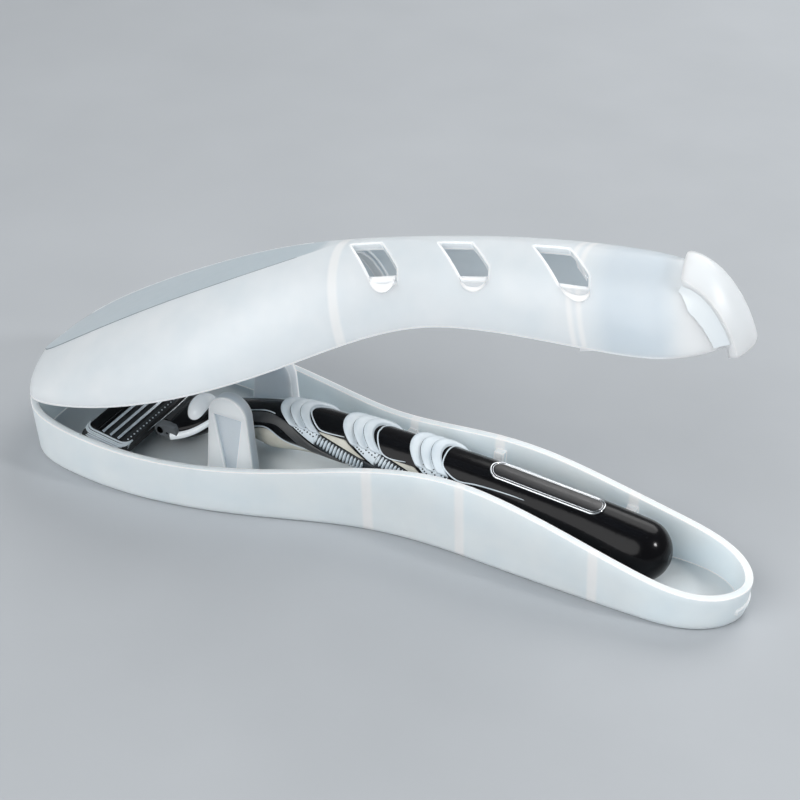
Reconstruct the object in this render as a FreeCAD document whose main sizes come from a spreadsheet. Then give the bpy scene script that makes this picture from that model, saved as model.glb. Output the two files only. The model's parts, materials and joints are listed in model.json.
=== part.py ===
"""Travel case for a cartridge razor, with the razor stored inside, as a parametric document.

Millimetres and degrees. X runs from the hinge end to the tip, -Y is the front, Z is up, and the origin lies
on the table under the middle of the case. The case is drawn closed, and the lid is then swung open.
"""
import FreeCAD, Part
import functools
import math
import os

from FreeCAD import Placement, Rotation, Vector

DIMENSIONS = {
    # Case
    "case_length": 180.0,
    "head_half_width": 27.2,
    "grip_half_width": 12.8,
    "hinge_half_length": 9.5,
    "rim_arch_height": 20.0,
    "lid_crown_height": 36.6,
    "wall_draft": 1.0,
    "case_wall": 1.7,
    "floor_thickness": 1.7,
    "bottom_round": 1.2,
    "closing_gap": 0.25,
    "skirt_lap": 1.5,
    "cut_overrun": 5.0,
    "cut_tolerance": 0.001,
    "hinge_nose": 6.0,
    "tip_nose": 8.0,
    "lid_open_angle": 19.43,
    # Tray ribs, posts and catch
    "rib_width": 2.4,
    "rib_depth": 1.6,
    "rib_drop": 2.6,
    "post_setback": 22.0,
    "post_inner_gap": 8.6,
    "post_thickness": 3.0,
    "post_base_width": 13.2,
    "post_top_width": 10.2,
    "post_height": 24.8,
    "post_recess_depth": 1.1,
    "post_flange": 1.2,
    "catch_bead_reach": 0.4,
    "catch_bead_height": 1.2,
    "catch_bead_place": 3.0,
    "catch_bead_half_length": 4.0,
    # Lid ribs, vents and pull tab
    "lid_rib_width": 2.6,
    "lid_rib_depth": 1.4,
    "locating_nub_drop": 1.5,
    "locating_nub_clearance": 0.5,
    "vent_width": 8.0,
    "vent_pitch": 22.05,
    "first_vent_place": 14.05,
    "vent_front_reach": 8.4,
    "vent_back_reach": 1.1,
    "vent_corner": 1.8,
    "tab_reach": 2.1,
    "tab_drop": 2.0,
    "tab_half_width": 5.6,
    "tab_length": 7.0,
    "tab_clearance": 0.7,
    # Hinge web
    "web_thickness": 0.5,
    "web_bow": 1.7,
    "web_end_gap": 0.3,
    "hinge_offset": 0.3,
    # Razor handle
    "handle_setback": 12.4,
    "handle_end_room": 18.4,
    "handle_rest_gap": 0.3,
    "handle_end_round": 7.4,
    "handle_top_height": 20.3,
    "handle_half_height": 7.2,
    "handle_half_width": 7.2,
    "fin_height": 1.1,
    "fin_base": 0.45,
    "fin_width": 1.9,
    "fin_pitch": 3.2,
    "fin_margin": 0.4,
    "fin_rake": 55.0,
    "grip_thickness": 0.5,
    "side_grip_top": 14.0,
    "side_grip_bottom": 11.4,
    "fin_bottom": 14.7,
    "plaque_length": 27.0,
    "plaque_width": 7.0,
    "plaque_rise": 0.5,
    "pad_length": 24.0,
    "pad_width": 5.6,
    "pad_rise": 0.6,
    # Neck, yoke, button and plunger
    "neck_setback": 3.2,
    "neck_front_height": 6.8,
    "neck_front_half_height": 3.8,
    "neck_front_half_width": 8.8,
    "neck_middle_height": 8.3,
    "neck_middle_half_height": 4.8,
    "neck_middle_half_width": 5.8,
    "yoke_gap": 12.0,
    "yoke_arm_width": 2.4,
    "yoke_eye_radius": 1.7,
    "pivot_setback": 33.6,
    "pivot_height": 7.2,
    "pivot_pin_radius": 0.9,
    "pivot_clearance": 0.1,
    "deck_height": 11.0,
    "deck_setback": 10.8,
    "button_length": 5.4,
    "button_width": 6.4,
    "button_height": 4.2,
    "button_round": 1.6,
    "button_gap": 0.3,
    "button_travel": 2.5,
    "stem_length": 1.6,
    "stem_width": 2.6,
    "slide_length": 6.2,
    "slide_width": 4.6,
    "slide_thickness": 0.9,
    "slide_height": 9.0,
    "slide_clearance": 0.2,
    "spring_wire": 0.26,
    "button_spring_length": 2.0,
    "button_spring_radius": 0.4,
    "plunger_radius": 0.9,
    "plunger_length": 3.6,
    "plunger_lever": 2.2,
    "plunger_clearance": 0.1,
    "plunger_tip_gap": 0.3,
    "plunger_spring_length": 3.4,
    "plunger_spring_radius": 0.6,
    # Cartridge
    "cartridge_tilt": 9.0,
    "cartridge_depth": 12.5,
    "cartridge_width": 41.0,
    "cartridge_thickness": 3.0,
    "cartridge_setback": 2.1,
    "cartridge_rise": 0.6,
    "cartridge_round": 0.6,
    "window_depth": 6.4,
    "window_width": 36.0,
    "window_setback": 2.6,
    "strip_recess": 0.5,
    "strip_rise": 0.3,
    "guard_depth": 2.0,
    "lubricant_depth": 2.8,
    "strip_margin": 0.3,
    "blade_depth": 1.5,
    "blade_thickness": 0.25,
    "blade_angle": 24.0,
    "blade_clearance": 0.1,
    "clip_thickness": 0.3,
    "clip_depth": 5.6,
    "clip_reach": 2.2,
    "clip_clearance": 0.05,
    "hub_eye_radius": 1.4,
    "hub_width": 10.8,
    "hub_drop": 3.4,
    "hub_plate": 1.0,
    "hub_plate_depth": 5.6,
}

# Case outline: place along the case as a share of its length, half width as a share of the two half widths
HEAD_OUTLINE_SHARES = ((0.04, 0.83), (0.10, 0.967), (0.20, 1.0), (0.30, 0.904), (0.40, 0.706))
GRIP_OUTLINE_SHARES = ((0.50, 1.047), (0.60, 0.883), (0.70, 0.93), (0.80, 0.977), (0.88, 1.0),
                       (0.94, 0.914), (0.98, 0.594), (1.0, 0.0))
# Arched parting line and lid crown: place as a share of the length, height as a share of the highest point
RIM_SHARES = ((0.0, 0.705), (0.15, 0.635), (0.30, 0.635), (0.45, 0.765), (0.55, 0.92), (0.65, 1.0),
              (0.80, 0.78), (1.0, 0.43))
CROWN_SHARES = ((0.0, 0.579), (0.14, 0.751), (0.26, 0.869), (0.38, 0.962), (0.48, 1.0), (0.60, 0.986),
                (0.70, 0.94), (0.80, 0.872), (0.90, 0.77), (1.0, 0.642))
FACET_SHARES = ((0.02, 0.553), (0.27, 0.835), (0.52, 1.008))
RIB_PLACE_SHARES = (0.516, 0.645, 0.824)
LID_RIB_PLACE_SHARES = (0.522, 0.839)
VENT_SLANT_SHARE = 1.07
# Razor handle, front to back: place as a share of its length, then middle height as a share of the highest
# top, and half height and half width as shares of those at the end of the handle
HANDLE_SHARES = ((0.0, 0.552, 0.472, 0.555), (0.06, 0.631, 0.515, 0.597), (0.13, 0.704, 0.611, 0.68),
                 (0.20, 0.741, 0.680, 0.764), (0.30, 0.741, 0.735, 0.82), (0.43, 0.725, 0.785, 0.85),
                 (0.58, 0.69, 0.833, 0.875), (0.73, 0.612, 0.9, 0.93), (0.87, 0.51, 0.972, 0.979))
END_ROUND_SHARES = (0.0, 0.4, 0.7, 0.9, 0.98)
# Places along the handle as shares of its length: fin groups, side grips, plaque and underside pad
FIN_GROUP_SHARES = {"grip_fins_front": 0.149, "grip_fins_middle": 0.301, "grip_fins_rear": 0.457}
SIDE_GRIP_SHARES = (0.199, 0.458)
PLAQUE_SHARE = 0.744
PAD_SHARE = 0.19
OUTLINE_STEPS = 44
HINGE_EDGE_STEPS = 8
ARCH_STEPS = 12
ROUND_STEPS = 3
SECTION_STEPS = 16
SPRING_TURNS = 5
FIN_COUNT = 3
BLADE_COUNT = 3
VENT_COUNT = 3

doc = FreeCAD.newDocument("razor_travel_case")
sheet = doc.addObject("Spreadsheet::Sheet", "sizes")
for row, (alias, value) in enumerate(DIMENSIONS.items(), start=1):
    sheet.set("A%d" % row, alias)
    sheet.set("B%d" % row, str(value))
    sheet.setAlias("B%d" % row, alias)
doc.recompute()


def size(alias):
    """Reads a driving dimension from the sheet."""
    return float(sheet.get(alias))


HALF_LENGTH = size("case_length") / 2
WALL = size("case_wall")
OVERRUN = size("cut_overrun")
UP = Vector(0, 0, 1)
ACROSS = Vector(0, 1, 0)
ALONG = Vector(1, 0, 0)

# The razor is set in from both ends of the case
PIVOT = Vector(-HALF_LENGTH + size("pivot_setback"), 0, size("pivot_height"))
NECK_FRONT = PIVOT.x + size("neck_setback")
HANDLE_FRONT = PIVOT.x + size("handle_setback")
HANDLE_BACK = HALF_LENGTH - size("handle_end_room")
HANDLE_LENGTH = HANDLE_BACK - HANDLE_FRONT
HANDLE_END_HEIGHT = size("floor_thickness") + size("handle_rest_gap") + size("handle_half_height")


def feature(label, shape, placement=None):
    """Adds a sub-part whose shape is worked out from the sheet."""
    made = doc.addObject("Part::Feature", label)
    made.Label = label
    made.Shape = shape
    if placement is not None:
        made.Placement = placement
    return made


def block(low, high):
    """A box between two corners."""
    return Part.makeBox(high.x - low.x, high.y - low.y, high.z - low.z, low)


def rod(radius, start, end):
    """A round rod from start to end."""
    return Part.makeCylinder(radius, (end - start).Length, start, end - start)


def height_profile(shares, top):
    """A smooth curve in the XZ plane through places along the case, with X as its own parameter."""
    places = [-HALF_LENGTH + share * size("case_length") for share, height in shares]
    points = [Vector(x, 0, height * top) for x, (share, height) in zip(places, shares)]
    curve = Part.BSplineCurve()
    curve.interpolate(Points=points, Parameters=places)
    return curve


RIM = height_profile(RIM_SHARES, size("rim_arch_height"))
CROWN = height_profile(CROWN_SHARES, size("lid_crown_height"))


def height_at(curve, x):
    """Height of a profile over a place along the case; past the ends it stays level."""
    return curve.value(max(-HALF_LENGTH, min(HALF_LENGTH, x))).z


HINGE_HEIGHT = height_at(RIM, -HALF_LENGTH)
HINGE_AXIS_POINT = Vector(-HALF_LENGTH - size("hinge_offset"), 0, HINGE_HEIGHT + size("closing_gap") / 2)


def outline_curve():
    """The closed outline at the rim, from the middle of the hinge edge round the back, tip and front, and
    the two parameters between which its back half runs from the hinge corner to the tip."""
    points = [Vector(-HALF_LENGTH, size("hinge_half_length"), 0)]
    spans = ((HEAD_OUTLINE_SHARES, "head_half_width"), (GRIP_OUTLINE_SHARES, "grip_half_width"))
    for shares, width in spans:
        for place, share in shares:
            points.append(Vector(-HALF_LENGTH + place * size("case_length"), share * size(width), 0))
    front = [Vector(point.x, -point.y, 0) for point in reversed(points[:-1])]
    curve = Part.BSplineCurve()
    curve.interpolate(Points=[Vector(-HALF_LENGTH, 0, 0)] + points + front, PeriodicFlag=True)
    knots = curve.getKnots()
    return curve, knots[1], knots[len(points)]


OUTLINE, CORNER_PARAMETER, TIP_PARAMETER = outline_curve()


def side_points(inset_at):
    """Points of the back half outline, each moved inwards by inset_at(x)."""
    points = []
    for step in range(OUTLINE_STEPS + 1):
        place = CORNER_PARAMETER + (TIP_PARAMETER - CORNER_PARAMETER) * step / OUTLINE_STEPS
        point = OUTLINE.value(place)
        tangent = OUTLINE.tangent(place)[0]
        inward = Vector(tangent.y, -tangent.x, 0)
        points.append(point + inward * inset_at(point.x))
    points[0].x = -HALF_LENGTH + inset_at(-HALF_LENGTH)
    points[-1].y = 0
    return points


def half_width_at(x):
    """Half width of the case at the rim over a place along it."""
    points = side_points(lambda place: 0)
    for near, far in zip(points, points[1:]):
        if near.x <= x <= far.x and far.x > near.x:
            return near.y + (far.y - near.y) * (x - near.x) / (far.x - near.x)
    return points[0].y


def outline_wire(inset_at, height):
    """The whole outline at one height: a curve round the tip and the straight hinge edge."""
    back = [Vector(point.x, point.y, height) for point in side_points(inset_at)]
    front = [Vector(point.x, -point.y, point.z) for point in reversed(back[:-1])]
    curve = Part.BSplineCurve()
    curve.interpolate(Points=back + front)
    return Part.Wire([curve.toShape(), Part.makeLine(front[-1], back[0])])


def drafted_solid(extra_inset, bottom, top, rounding=0):
    """The space inside the drafted tray wall, moved inwards by extra_inset, between two heights, with its
    bottom edge rounded."""
    def wall_inset(height, more):
        return lambda x: extra_inset + more + size("wall_draft") * (1 - height / height_at(RIM, x))
    levels = [(bottom, 0)]
    if rounding:
        turns = [math.pi / 2 * step / ROUND_STEPS for step in range(ROUND_STEPS + 1)]
        levels = [(bottom + rounding * (1 - math.cos(turn)), rounding * (1 - math.sin(turn)))
                  for turn in turns]
    levels.append((top, 0))
    wires = [outline_wire(wall_inset(height, more), height) for height, more in levels]
    return Part.makeLoft(wires, True, True)


def below_rim(lift):
    """Everything under the arched parting line raised by lift."""
    wide = size("head_half_width") + OVERRUN
    edge = RIM.copy()
    edge.translate(Vector(0, -wide, lift))
    start, end = edge.StartPoint, edge.EndPoint
    corners = [end, end + ALONG * OVERRUN, Vector(end.x + OVERRUN, -wide, -OVERRUN),
               Vector(start.x - OVERRUN, -wide, -OVERRUN), start - ALONG * OVERRUN, start]
    lines = [Part.makeLine(a, b) for a, b in zip(corners, corners[1:])]
    return Part.Face(Part.Wire([edge.toShape()] + lines)).extrude(ACROSS * 2 * wide)


def below_facet(lift):
    """Everything under the gently bowed leaf-shaped facet of the lid's head, raised by lift."""
    wide = size("head_half_width") + OVERRUN
    crown = size("lid_crown_height")
    points = [Vector(-HALF_LENGTH + place * size("case_length"), -wide, share * crown + lift)
              for place, share in FACET_SHARES]
    first, middle, last = points
    bow = Part.Arc(first, middle, last)
    lead = first + (first - middle).normalize() * OVERRUN * 2
    rise = Vector(HALF_LENGTH + OVERRUN, -wide, crown * 2)
    corners = [last, Vector(last.x + OVERRUN, -wide, last.z + OVERRUN), rise,
               Vector(rise.x, -wide, -OVERRUN), Vector(lead.x, -wide, -OVERRUN), lead, first]
    lines = [Part.makeLine(a, b) for a, b in zip(corners, corners[1:])]
    return Part.Face(Part.Wire([bow.toShape()] + lines)).extrude(ACROSS * 2 * wide)


def dome_solid(inset):
    """The lid's dome moved inwards by inset: half-elliptic arches over the outline, rounded down at both
    ends, standing on a straight skirt that reaches the table."""
    side = side_points(lambda x: inset)
    corner = side[0]
    edge = [Vector(corner.x, corner.y * step / HINGE_EDGE_STEPS, 0) for step in range(HINGE_EDGE_STEPS)]
    outline = edge + side
    reach = side[-1].x - corner.x
    rows = []
    for step in range(ARCH_STEPS + 1):
        angle = math.pi / 2 * step / ARCH_STEPS
        draw_in = 1 - math.cos(angle)
        low = corner.x + size("hinge_nose") * draw_in
        high = side[-1].x - size("tip_nose") * draw_in
        row = []
        for point in outline:
            x = low + (point.x - corner.x) / reach * (high - low)
            foot = height_at(RIM, x) - size("skirt_lap")
            crown = height_at(CROWN, x) - inset
            row.append(Vector(x, point.y * math.cos(angle), foot + (crown - foot) * math.sin(angle)))
        rows.append(row)
    for point in rows[-1]:
        point.y = 0
    surface = Part.BSplineSurface()
    surface.interpolate(rows)
    dome = surface.toShape()
    rim_edge = min(dome.Edges, key=lambda e: e.CenterOfMass.z if e.Length > reach / 2 else math.inf)
    foot_curve = Part.BSplineCurve()
    foot_curve.interpolate(Points=[Vector(point.x, point.y, 0) for point in outline])
    foot_edge = foot_curve.toShape()
    skirt = Part.makeRuledSurface(foot_edge, rim_edge)
    halves = [dome, skirt]
    mirrored = [face.mirror(Vector(), ACROSS) for face in halves]
    floor = Part.Face(Part.Wire([foot_edge, foot_edge.mirror(Vector(), ACROSS)]))
    shell = Part.makeShell(halves + mirrored + [floor])
    shell.sewShape()
    solid = Part.makeSolid(shell)
    if solid.Volume < 0:
        solid.reverse()
    return solid


def rib_places(shares):
    """Places along the case from shares of its length."""
    return [-HALF_LENGTH + share * size("case_length") for share in shares]


def neck_post(side):
    """One post beside the razor's neck: a tapered plate with a round top and a recess in its outer face."""
    x = PIVOT.x + size("post_setback")
    inner = size("post_inner_gap")
    outer = inner + size("post_thickness")
    base, top = size("post_base_width") / 2, size("post_top_width") / 2
    floor = size("floor_thickness") / 2
    shoulder = size("post_height") - top
    start, end = Vector(x - base, inner, floor), Vector(x + base, inner, floor)
    left, right = Vector(x - top, inner, shoulder), Vector(x + top, inner, shoulder)
    crest = Part.Arc(left, Vector(x, inner, size("post_height")), right).toShape()
    wire = Part.Wire([Part.makeLine(start, left), crest, Part.makeLine(right, end),
                      Part.makeLine(end, start)])
    plate = Part.Face(wire).extrude(ACROSS * size("post_thickness"))
    flange = size("post_flange")
    face = outer - size("post_recess_depth")
    foot = floor + size("floor_thickness")
    corners = [Vector(x - flange, face, foot), Vector(x - top + flange, face, shoulder),
               Vector(x + top - flange, face, shoulder), Vector(x + flange, face, foot)]
    recess = Part.Face(Part.makePolygon(corners + corners[:1])).extrude(ACROSS * OVERRUN)
    post = plate.cut(recess)
    return post if side > 0 else post.mirror(Vector(), ACROSS)


def base_tray():
    """The lower shell: drafted wall cut to the arched rim, with ribs, neck posts and the catch bead."""
    top = size("rim_arch_height") + OVERRUN
    outer = drafted_solid(0, 0, top, size("bottom_round"))
    hollow = drafted_solid(WALL, size("floor_thickness"), top)
    between_ribs = drafted_solid(WALL + size("rib_depth"), size("floor_thickness"), top)
    for x in rib_places(RIB_PLACE_SHARES):
        half = size("rib_width") / 2
        crest = height_at(RIM, x) - size("rib_drop")
        low = Vector(x - half, -size("head_half_width"), 0)
        bar = block(low, Vector(x + half, size("head_half_width"), crest))
        hollow = hollow.cut(bar.cut(between_ribs))
    tray = outer.common(below_rim(0)).cut(hollow)
    for side in (-1, 1):
        tray = tray.fuse(neck_post(side))
    reach = size("catch_bead_half_length")
    bead_low = Vector(HALF_LENGTH - OVERRUN, -reach, size("catch_bead_place"))
    bead_high = Vector(HALF_LENGTH + OVERRUN, reach, size("catch_bead_place") + size("catch_bead_height"))
    bead = drafted_solid(-size("catch_bead_reach"), 0, top).common(block(bead_low, bead_high))
    return tray.fuse(bead.cut(hollow)).removeSplitter()


def vent(x):
    """A slanted vent through the lid's top: a parallelogram with one clipped corner, cut straight down."""
    half = size("vent_width") / 2
    front, back = -size("vent_front_reach"), -size("vent_back_reach")
    middle = (front + back) / 2
    clip = size("vent_corner")

    def corner(side, y, shift=0):
        return Vector(x + side * half - (y - middle) * VENT_SLANT_SHARE + shift, y, size("rim_arch_height"))
    outline = [corner(-1, back), corner(1, back), corner(1, front + clip), corner(1, front, -clip),
               corner(-1, front)]
    return Part.Face(Part.makePolygon(outline + outline[:1])).extrude(UP * size("lid_crown_height"))


def lid_shell():
    """The upper shell, drawn closed: a dome with facet, vents, inner ribs, locating nub and pull tab."""
    skin = dome_solid(0).common(below_facet(0))
    tip = HALF_LENGTH
    tab_half = size("tab_half_width")
    tab_low = Vector(tip - size("tab_length"), -tab_half, height_at(RIM, tip) - size("tab_drop"))
    tab_high = Vector(tip + OVERRUN, tab_half, size("lid_crown_height"))
    tab = dome_solid(-size("tab_reach")).common(block(tab_low, tab_high))
    under = below_rim(size("closing_gap"))
    tray_room = drafted_solid(-size("tab_clearance"), 0, size("rim_arch_height") + OVERRUN).common(under)
    hollow = dome_solid(WALL).common(below_facet(-WALL))
    lining = dome_solid(WALL + size("lid_rib_depth")).common(below_facet(-WALL - size("lid_rib_depth")))
    half = size("lid_rib_width") / 2
    wide = size("head_half_width")
    for x in rib_places(LID_RIB_PLACE_SHARES):
        slab = block(Vector(x - half, -wide, 0), Vector(x + half, wide, size("lid_crown_height")))
        hollow = hollow.cut(slab.cut(lining))
    lid = skin.cut([under], size("cut_tolerance")).fuse(tab.cut(tray_room)).cut(hollow)
    for number in range(VENT_COUNT):
        lid = lid.cut(vent(size("first_vent_place") + number * size("vent_pitch")))
    nub_x = rib_places(LID_RIB_PLACE_SHARES)[-1]
    outer = half_width_at(nub_x) - WALL - size("locating_nub_clearance")
    rim = height_at(RIM, nub_x)
    nub = block(Vector(nub_x - half, -outer, rim - size("locating_nub_drop")),
                Vector(nub_x + half, -outer + size("lid_rib_depth"), rim + size("lid_rib_width")))
    return lid.fuse(nub).removeSplitter()


def swing_open():
    """Placement that swings the closed lid open about the hinge web."""
    return Placement(Vector(), Rotation(-ACROSS, size("lid_open_angle")), HINGE_AXIS_POINT)


def hinge_web():
    """The bowed living hinge: a thin strip turned about the hinge axis, from the tray's end wall round the
    outside to the open lid's end wall."""
    reach = size("hinge_half_length") - size("web_end_gap")
    start = HINGE_AXIS_POINT - UP * size("web_bow") - ACROSS * reach
    strip = Part.makePlane(size("web_thickness"), 2 * reach, start, -ALONG, UP)
    return strip.revolve(HINGE_AXIS_POINT, ACROSS, 180 - size("lid_open_angle"))


def ellipse_section(x, height, half_height, half_width):
    """An upright elliptic section of the razor across X, started at its top."""
    turns = [2 * math.pi * step / SECTION_STEPS for step in range(SECTION_STEPS)]
    points = [Vector(x, half_width * math.sin(turn), height + half_height * math.cos(turn))
              for turn in turns]
    curve = Part.BSplineCurve()
    curve.interpolate(Points=points, PeriodicFlag=True)
    return Part.Wire([curve.toShape()])


def along_handle(share):
    """Place along the case from a share of the handle's length."""
    return HANDLE_FRONT + share * HANDLE_LENGTH


@functools.lru_cache
def handle_solid(swell):
    """The arched handle grown by swell: elliptic sections, ending in a round butt."""
    sections = []
    for place, height, tall, wide in HANDLE_SHARES:
        sections.append(ellipse_section(along_handle(place), height * size("handle_top_height"),
                                        tall * size("handle_half_height") + swell,
                                        wide * size("handle_half_width") + swell))
    for share in END_ROUND_SHARES:
        x = HANDLE_BACK - size("handle_end_round") * (1 - share)
        round_share = math.sqrt(1 - share ** 2)
        sections.append(ellipse_section(x, HANDLE_END_HEIGHT,
                                        size("handle_half_height") * round_share + swell,
                                        size("handle_half_width") * round_share + swell))
    return Part.makeLoft(sections, True, False)


def neck_solid():
    """The neck between handle and yoke: elliptic sections that widen towards the yoke."""
    height, tall, wide = HANDLE_SHARES[0][1:]
    sections = [
        ellipse_section(HANDLE_FRONT, height * size("handle_top_height"),
                        tall * size("handle_half_height"), wide * size("handle_half_width")),
        ellipse_section((HANDLE_FRONT + NECK_FRONT) / 2, size("neck_middle_height"),
                        size("neck_middle_half_height"), size("neck_middle_half_width")),
        ellipse_section(NECK_FRONT, size("neck_front_height"), size("neck_front_half_height"),
                        size("neck_front_half_width"))]
    return Part.makeLoft(sections, True, False)


PLUNGER_HEIGHT = size("pivot_height") - size("plunger_lever")
SLIDE_TOP = size("slide_height") + size("slide_thickness")
DECK_BACK = PIVOT.x + size("deck_setback")
BUTTON_BACK = DECK_BACK - size("button_gap")
STEM_BACK = BUTTON_BACK - (size("button_length") - size("stem_length")) / 2
SLIDE_BACK = STEM_BACK + size("stem_length")
SPRING_SEAT = SLIDE_BACK + size("button_spring_length")


def plunger_tip():
    """Place of the plunger's tip: a small gap before the tilted back of the hub."""
    tilt = math.radians(size("cartridge_tilt"))
    back = size("hub_eye_radius") * math.cos(tilt) - size("plunger_lever") * math.sin(tilt)
    return PIVOT.x + back + size("plunger_tip_gap")


PLUNGER_TIP = plunger_tip()
PLUNGER_BACK = PLUNGER_TIP + size("plunger_length")
PLUNGER_SEAT = PLUNGER_BACK + size("plunger_spring_length")


def neck_housing():
    """The neck with its yoke arms, button deck, slide channel and plunger bore."""
    neck = neck_solid()
    inner = size("yoke_gap") / 2
    outer = inner + size("yoke_arm_width")
    eye = size("yoke_eye_radius")
    for side in (-1, 1):
        low, high = sorted((side * inner, side * outer))
        ring = rod(eye, PIVOT + ACROSS * low, PIVOT + ACROSS * high)
        arm = block(Vector(PIVOT.x, low, PIVOT.z - eye),
                    Vector(NECK_FRONT + eye, high, PIVOT.z + eye))
        neck = neck.fuse(ring.fuse(arm))
    hole = size("pivot_pin_radius") + size("pivot_clearance")
    neck = neck.cut(rod(hole, PIVOT - ACROSS * (outer + OVERRUN), PIVOT + ACROSS * (outer + OVERRUN)))
    front = NECK_FRONT - OVERRUN
    half = size("button_width") / 2 + size("button_gap")
    neck = neck.cut(block(Vector(front, -half, size("deck_height")),
                          Vector(DECK_BACK, half, size("handle_top_height"))))
    free = size("slide_clearance")
    half = size("slide_width") / 2 + free
    neck = neck.cut(block(Vector(front, -half, size("slide_height") - free),
                          Vector(SPRING_SEAT, half, SLIDE_TOP + free)))
    half = size("stem_width") / 2 + free
    slot_front = STEM_BACK - size("stem_length") - size("button_travel") - free
    neck = neck.cut(block(Vector(slot_front, -half, size("slide_height")),
                          Vector(STEM_BACK + free, half, size("handle_top_height"))))
    bore = size("plunger_radius") + size("plunger_clearance")
    return neck.cut(rod(bore, Vector(front, 0, PLUNGER_HEIGHT), Vector(PLUNGER_SEAT, 0, PLUNGER_HEIGHT)))


def coil_spring(radius, length, start):
    """A coil spring along X: one wire swept along a helix between two end planes."""
    wire = size("spring_wire")
    run = length - wire
    helix = Part.makeHelix(run / SPRING_TURNS, run, radius)
    ring = Part.Wire([Part.Circle(Vector(radius, 0, 0), ACROSS, wire / 2).toShape()])
    coil = Part.Wire(helix).makePipeShell([ring], True, True)
    return coil, Placement(start + ALONG * wire / 2, Rotation(UP, ALONG))


def fin_group(x):
    """A rubber saddle over the handle's top with three raked fins."""
    wide = size("handle_half_width") * 2
    rake = math.radians(size("fin_rake"))
    reach = (FIN_COUNT - 1) * size("fin_pitch") + size("fin_width")

    def slab(front, back, margin):
        """A raked slice of the handle's upper part, between two places on its top, widened by margin."""
        top = size("handle_top_height") + size("fin_height")
        bottom = size("fin_bottom") - margin
        lean = (top - bottom) * math.tan(rake)
        front, back = front - margin, back + margin
        corners = [Vector(front, -wide, top), Vector(back, -wide, top), Vector(back + lean, -wide, bottom),
                   Vector(front + lean, -wide, bottom)]
        return Part.Face(Part.makePolygon(corners + corners[:1])).extrude(ACROSS * 2 * wide)
    saddle = handle_solid(size("fin_base")).common(slab(x, x + reach, size("fin_margin")))
    skin = handle_solid(size("fin_height"))
    for number in range(FIN_COUNT):
        front = x + number * size("fin_pitch")
        saddle = saddle.fuse(skin.common(slab(front, front + size("fin_width"), 0)))
    return saddle.cut(handle_solid(0))


def side_grip(side):
    """A rubber band on one side of the handle."""
    low, high = sorted((0, side * size("handle_half_width") * 2))
    front, back = (along_handle(share) for share in SIDE_GRIP_SHARES)
    band = block(Vector(front, low, size("side_grip_bottom")), Vector(back, high, size("side_grip_top")))
    return handle_solid(size("grip_thickness")).common(band).cut(handle_solid(0))


def capsule(x, length, width, low, high):
    """An upright prism with round ends, along X."""
    half = length / 2 - width / 2
    span = high - low
    body = block(Vector(x - half, -width / 2, low), Vector(x + half, width / 2, high))
    for end in (x - half, x + half):
        body = body.fuse(Part.makeCylinder(width / 2, span, Vector(end, 0, low)))
    return body


def handle_plaque():
    """A plain raised capsule plate on the back of the handle."""
    prism = capsule(along_handle(PLAQUE_SHARE), size("plaque_length"), size("plaque_width"),
                    HANDLE_END_HEIGHT + size("plaque_width") / 2, size("handle_top_height") + OVERRUN)
    return handle_solid(size("plaque_rise")).common(prism).cut(handle_solid(0))


def underside_pad():
    """A pale pad under the front of the handle."""
    prism = capsule(along_handle(PAD_SHARE), size("pad_length"), size("pad_width"), 0, size("fin_bottom"))
    return handle_solid(size("pad_rise")).common(prism).cut(handle_solid(0))


def bind(made, **expressions):
    """Binds properties of an object to cells of the sheet."""
    for name, expression in expressions.items():
        made.setExpression(name, expression)
    return made


def release_button():
    """The button: a rounded pad on a stem that reaches down to the slide."""
    body = doc.addObject("PartDesign::Body", "release_button")
    body.Label = "release_button"
    base_plane = next(f for f in body.Origin.OriginFeatures if f.Role == "XY_Plane")

    def rectangle(name, length, width, offset):
        sketch = body.newObject("Sketcher::SketchObject", name)
        sketch.AttachmentSupport = [(base_plane, "")]
        sketch.MapMode = "FlatFace"
        sketch.AttachmentOffset = Placement(Vector(0, 0, offset), Rotation())
        corners = [Vector(-length / 2, -width / 2, 0), Vector(length / 2, -width / 2, 0),
                   Vector(length / 2, width / 2, 0), Vector(-length / 2, width / 2, 0)]
        for start, end in zip(corners, corners[1:] + corners[:1]):
            sketch.addGeometry(Part.LineSegment(start, end), False)
        return sketch
    pad = body.newObject("PartDesign::Pad", "button_pad")
    pad.Profile = rectangle("button_outline", size("button_length"), size("button_width"), 0)
    bind(pad, Length="sizes.button_height")
    doc.recompute()
    middle = size("button_height") / 2
    upright = [i for i, e in enumerate(pad.Shape.Edges, 1) if e.BoundBox.ZLength > middle]
    corners = body.newObject("PartDesign::Fillet", "button_corners")
    corners.Base = (pad, ["Edge%d" % i for i in upright])
    bind(corners, Radius="sizes.button_round")
    doc.recompute()
    crest = [i for i, e in enumerate(corners.Shape.Edges, 1) if e.BoundBox.ZMin > middle]
    rounded = body.newObject("PartDesign::Fillet", "button_crest")
    rounded.Base = (corners, ["Edge%d" % crest[0]])
    bind(rounded, Radius="sizes.button_round")
    doc.recompute()
    stem = body.newObject("PartDesign::Pad", "button_stem")
    stem.Profile = rectangle("stem_outline", size("stem_length"), size("stem_width"), 0)
    stem.Reversed = True
    stem.Length = size("deck_height") + size("button_gap") - SLIDE_TOP
    doc.recompute()
    body.Placement = Placement(Vector(BUTTON_BACK - size("button_length") / 2, 0,
                                      size("deck_height") + size("button_gap")), Rotation())
    return body


def ejector_slide():
    """The flat slide that the button pushes forward in the neck's channel."""
    slide = doc.addObject("Part::Box", "ejector_slide")
    slide.Label = "ejector_slide"
    bind(slide, Length="sizes.slide_length", Width="sizes.slide_width", Height="sizes.slide_thickness")
    place = Vector(SLIDE_BACK - size("slide_length"), -size("slide_width") / 2, size("slide_height"))
    slide.Placement = Placement(place, Rotation())
    return slide


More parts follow.
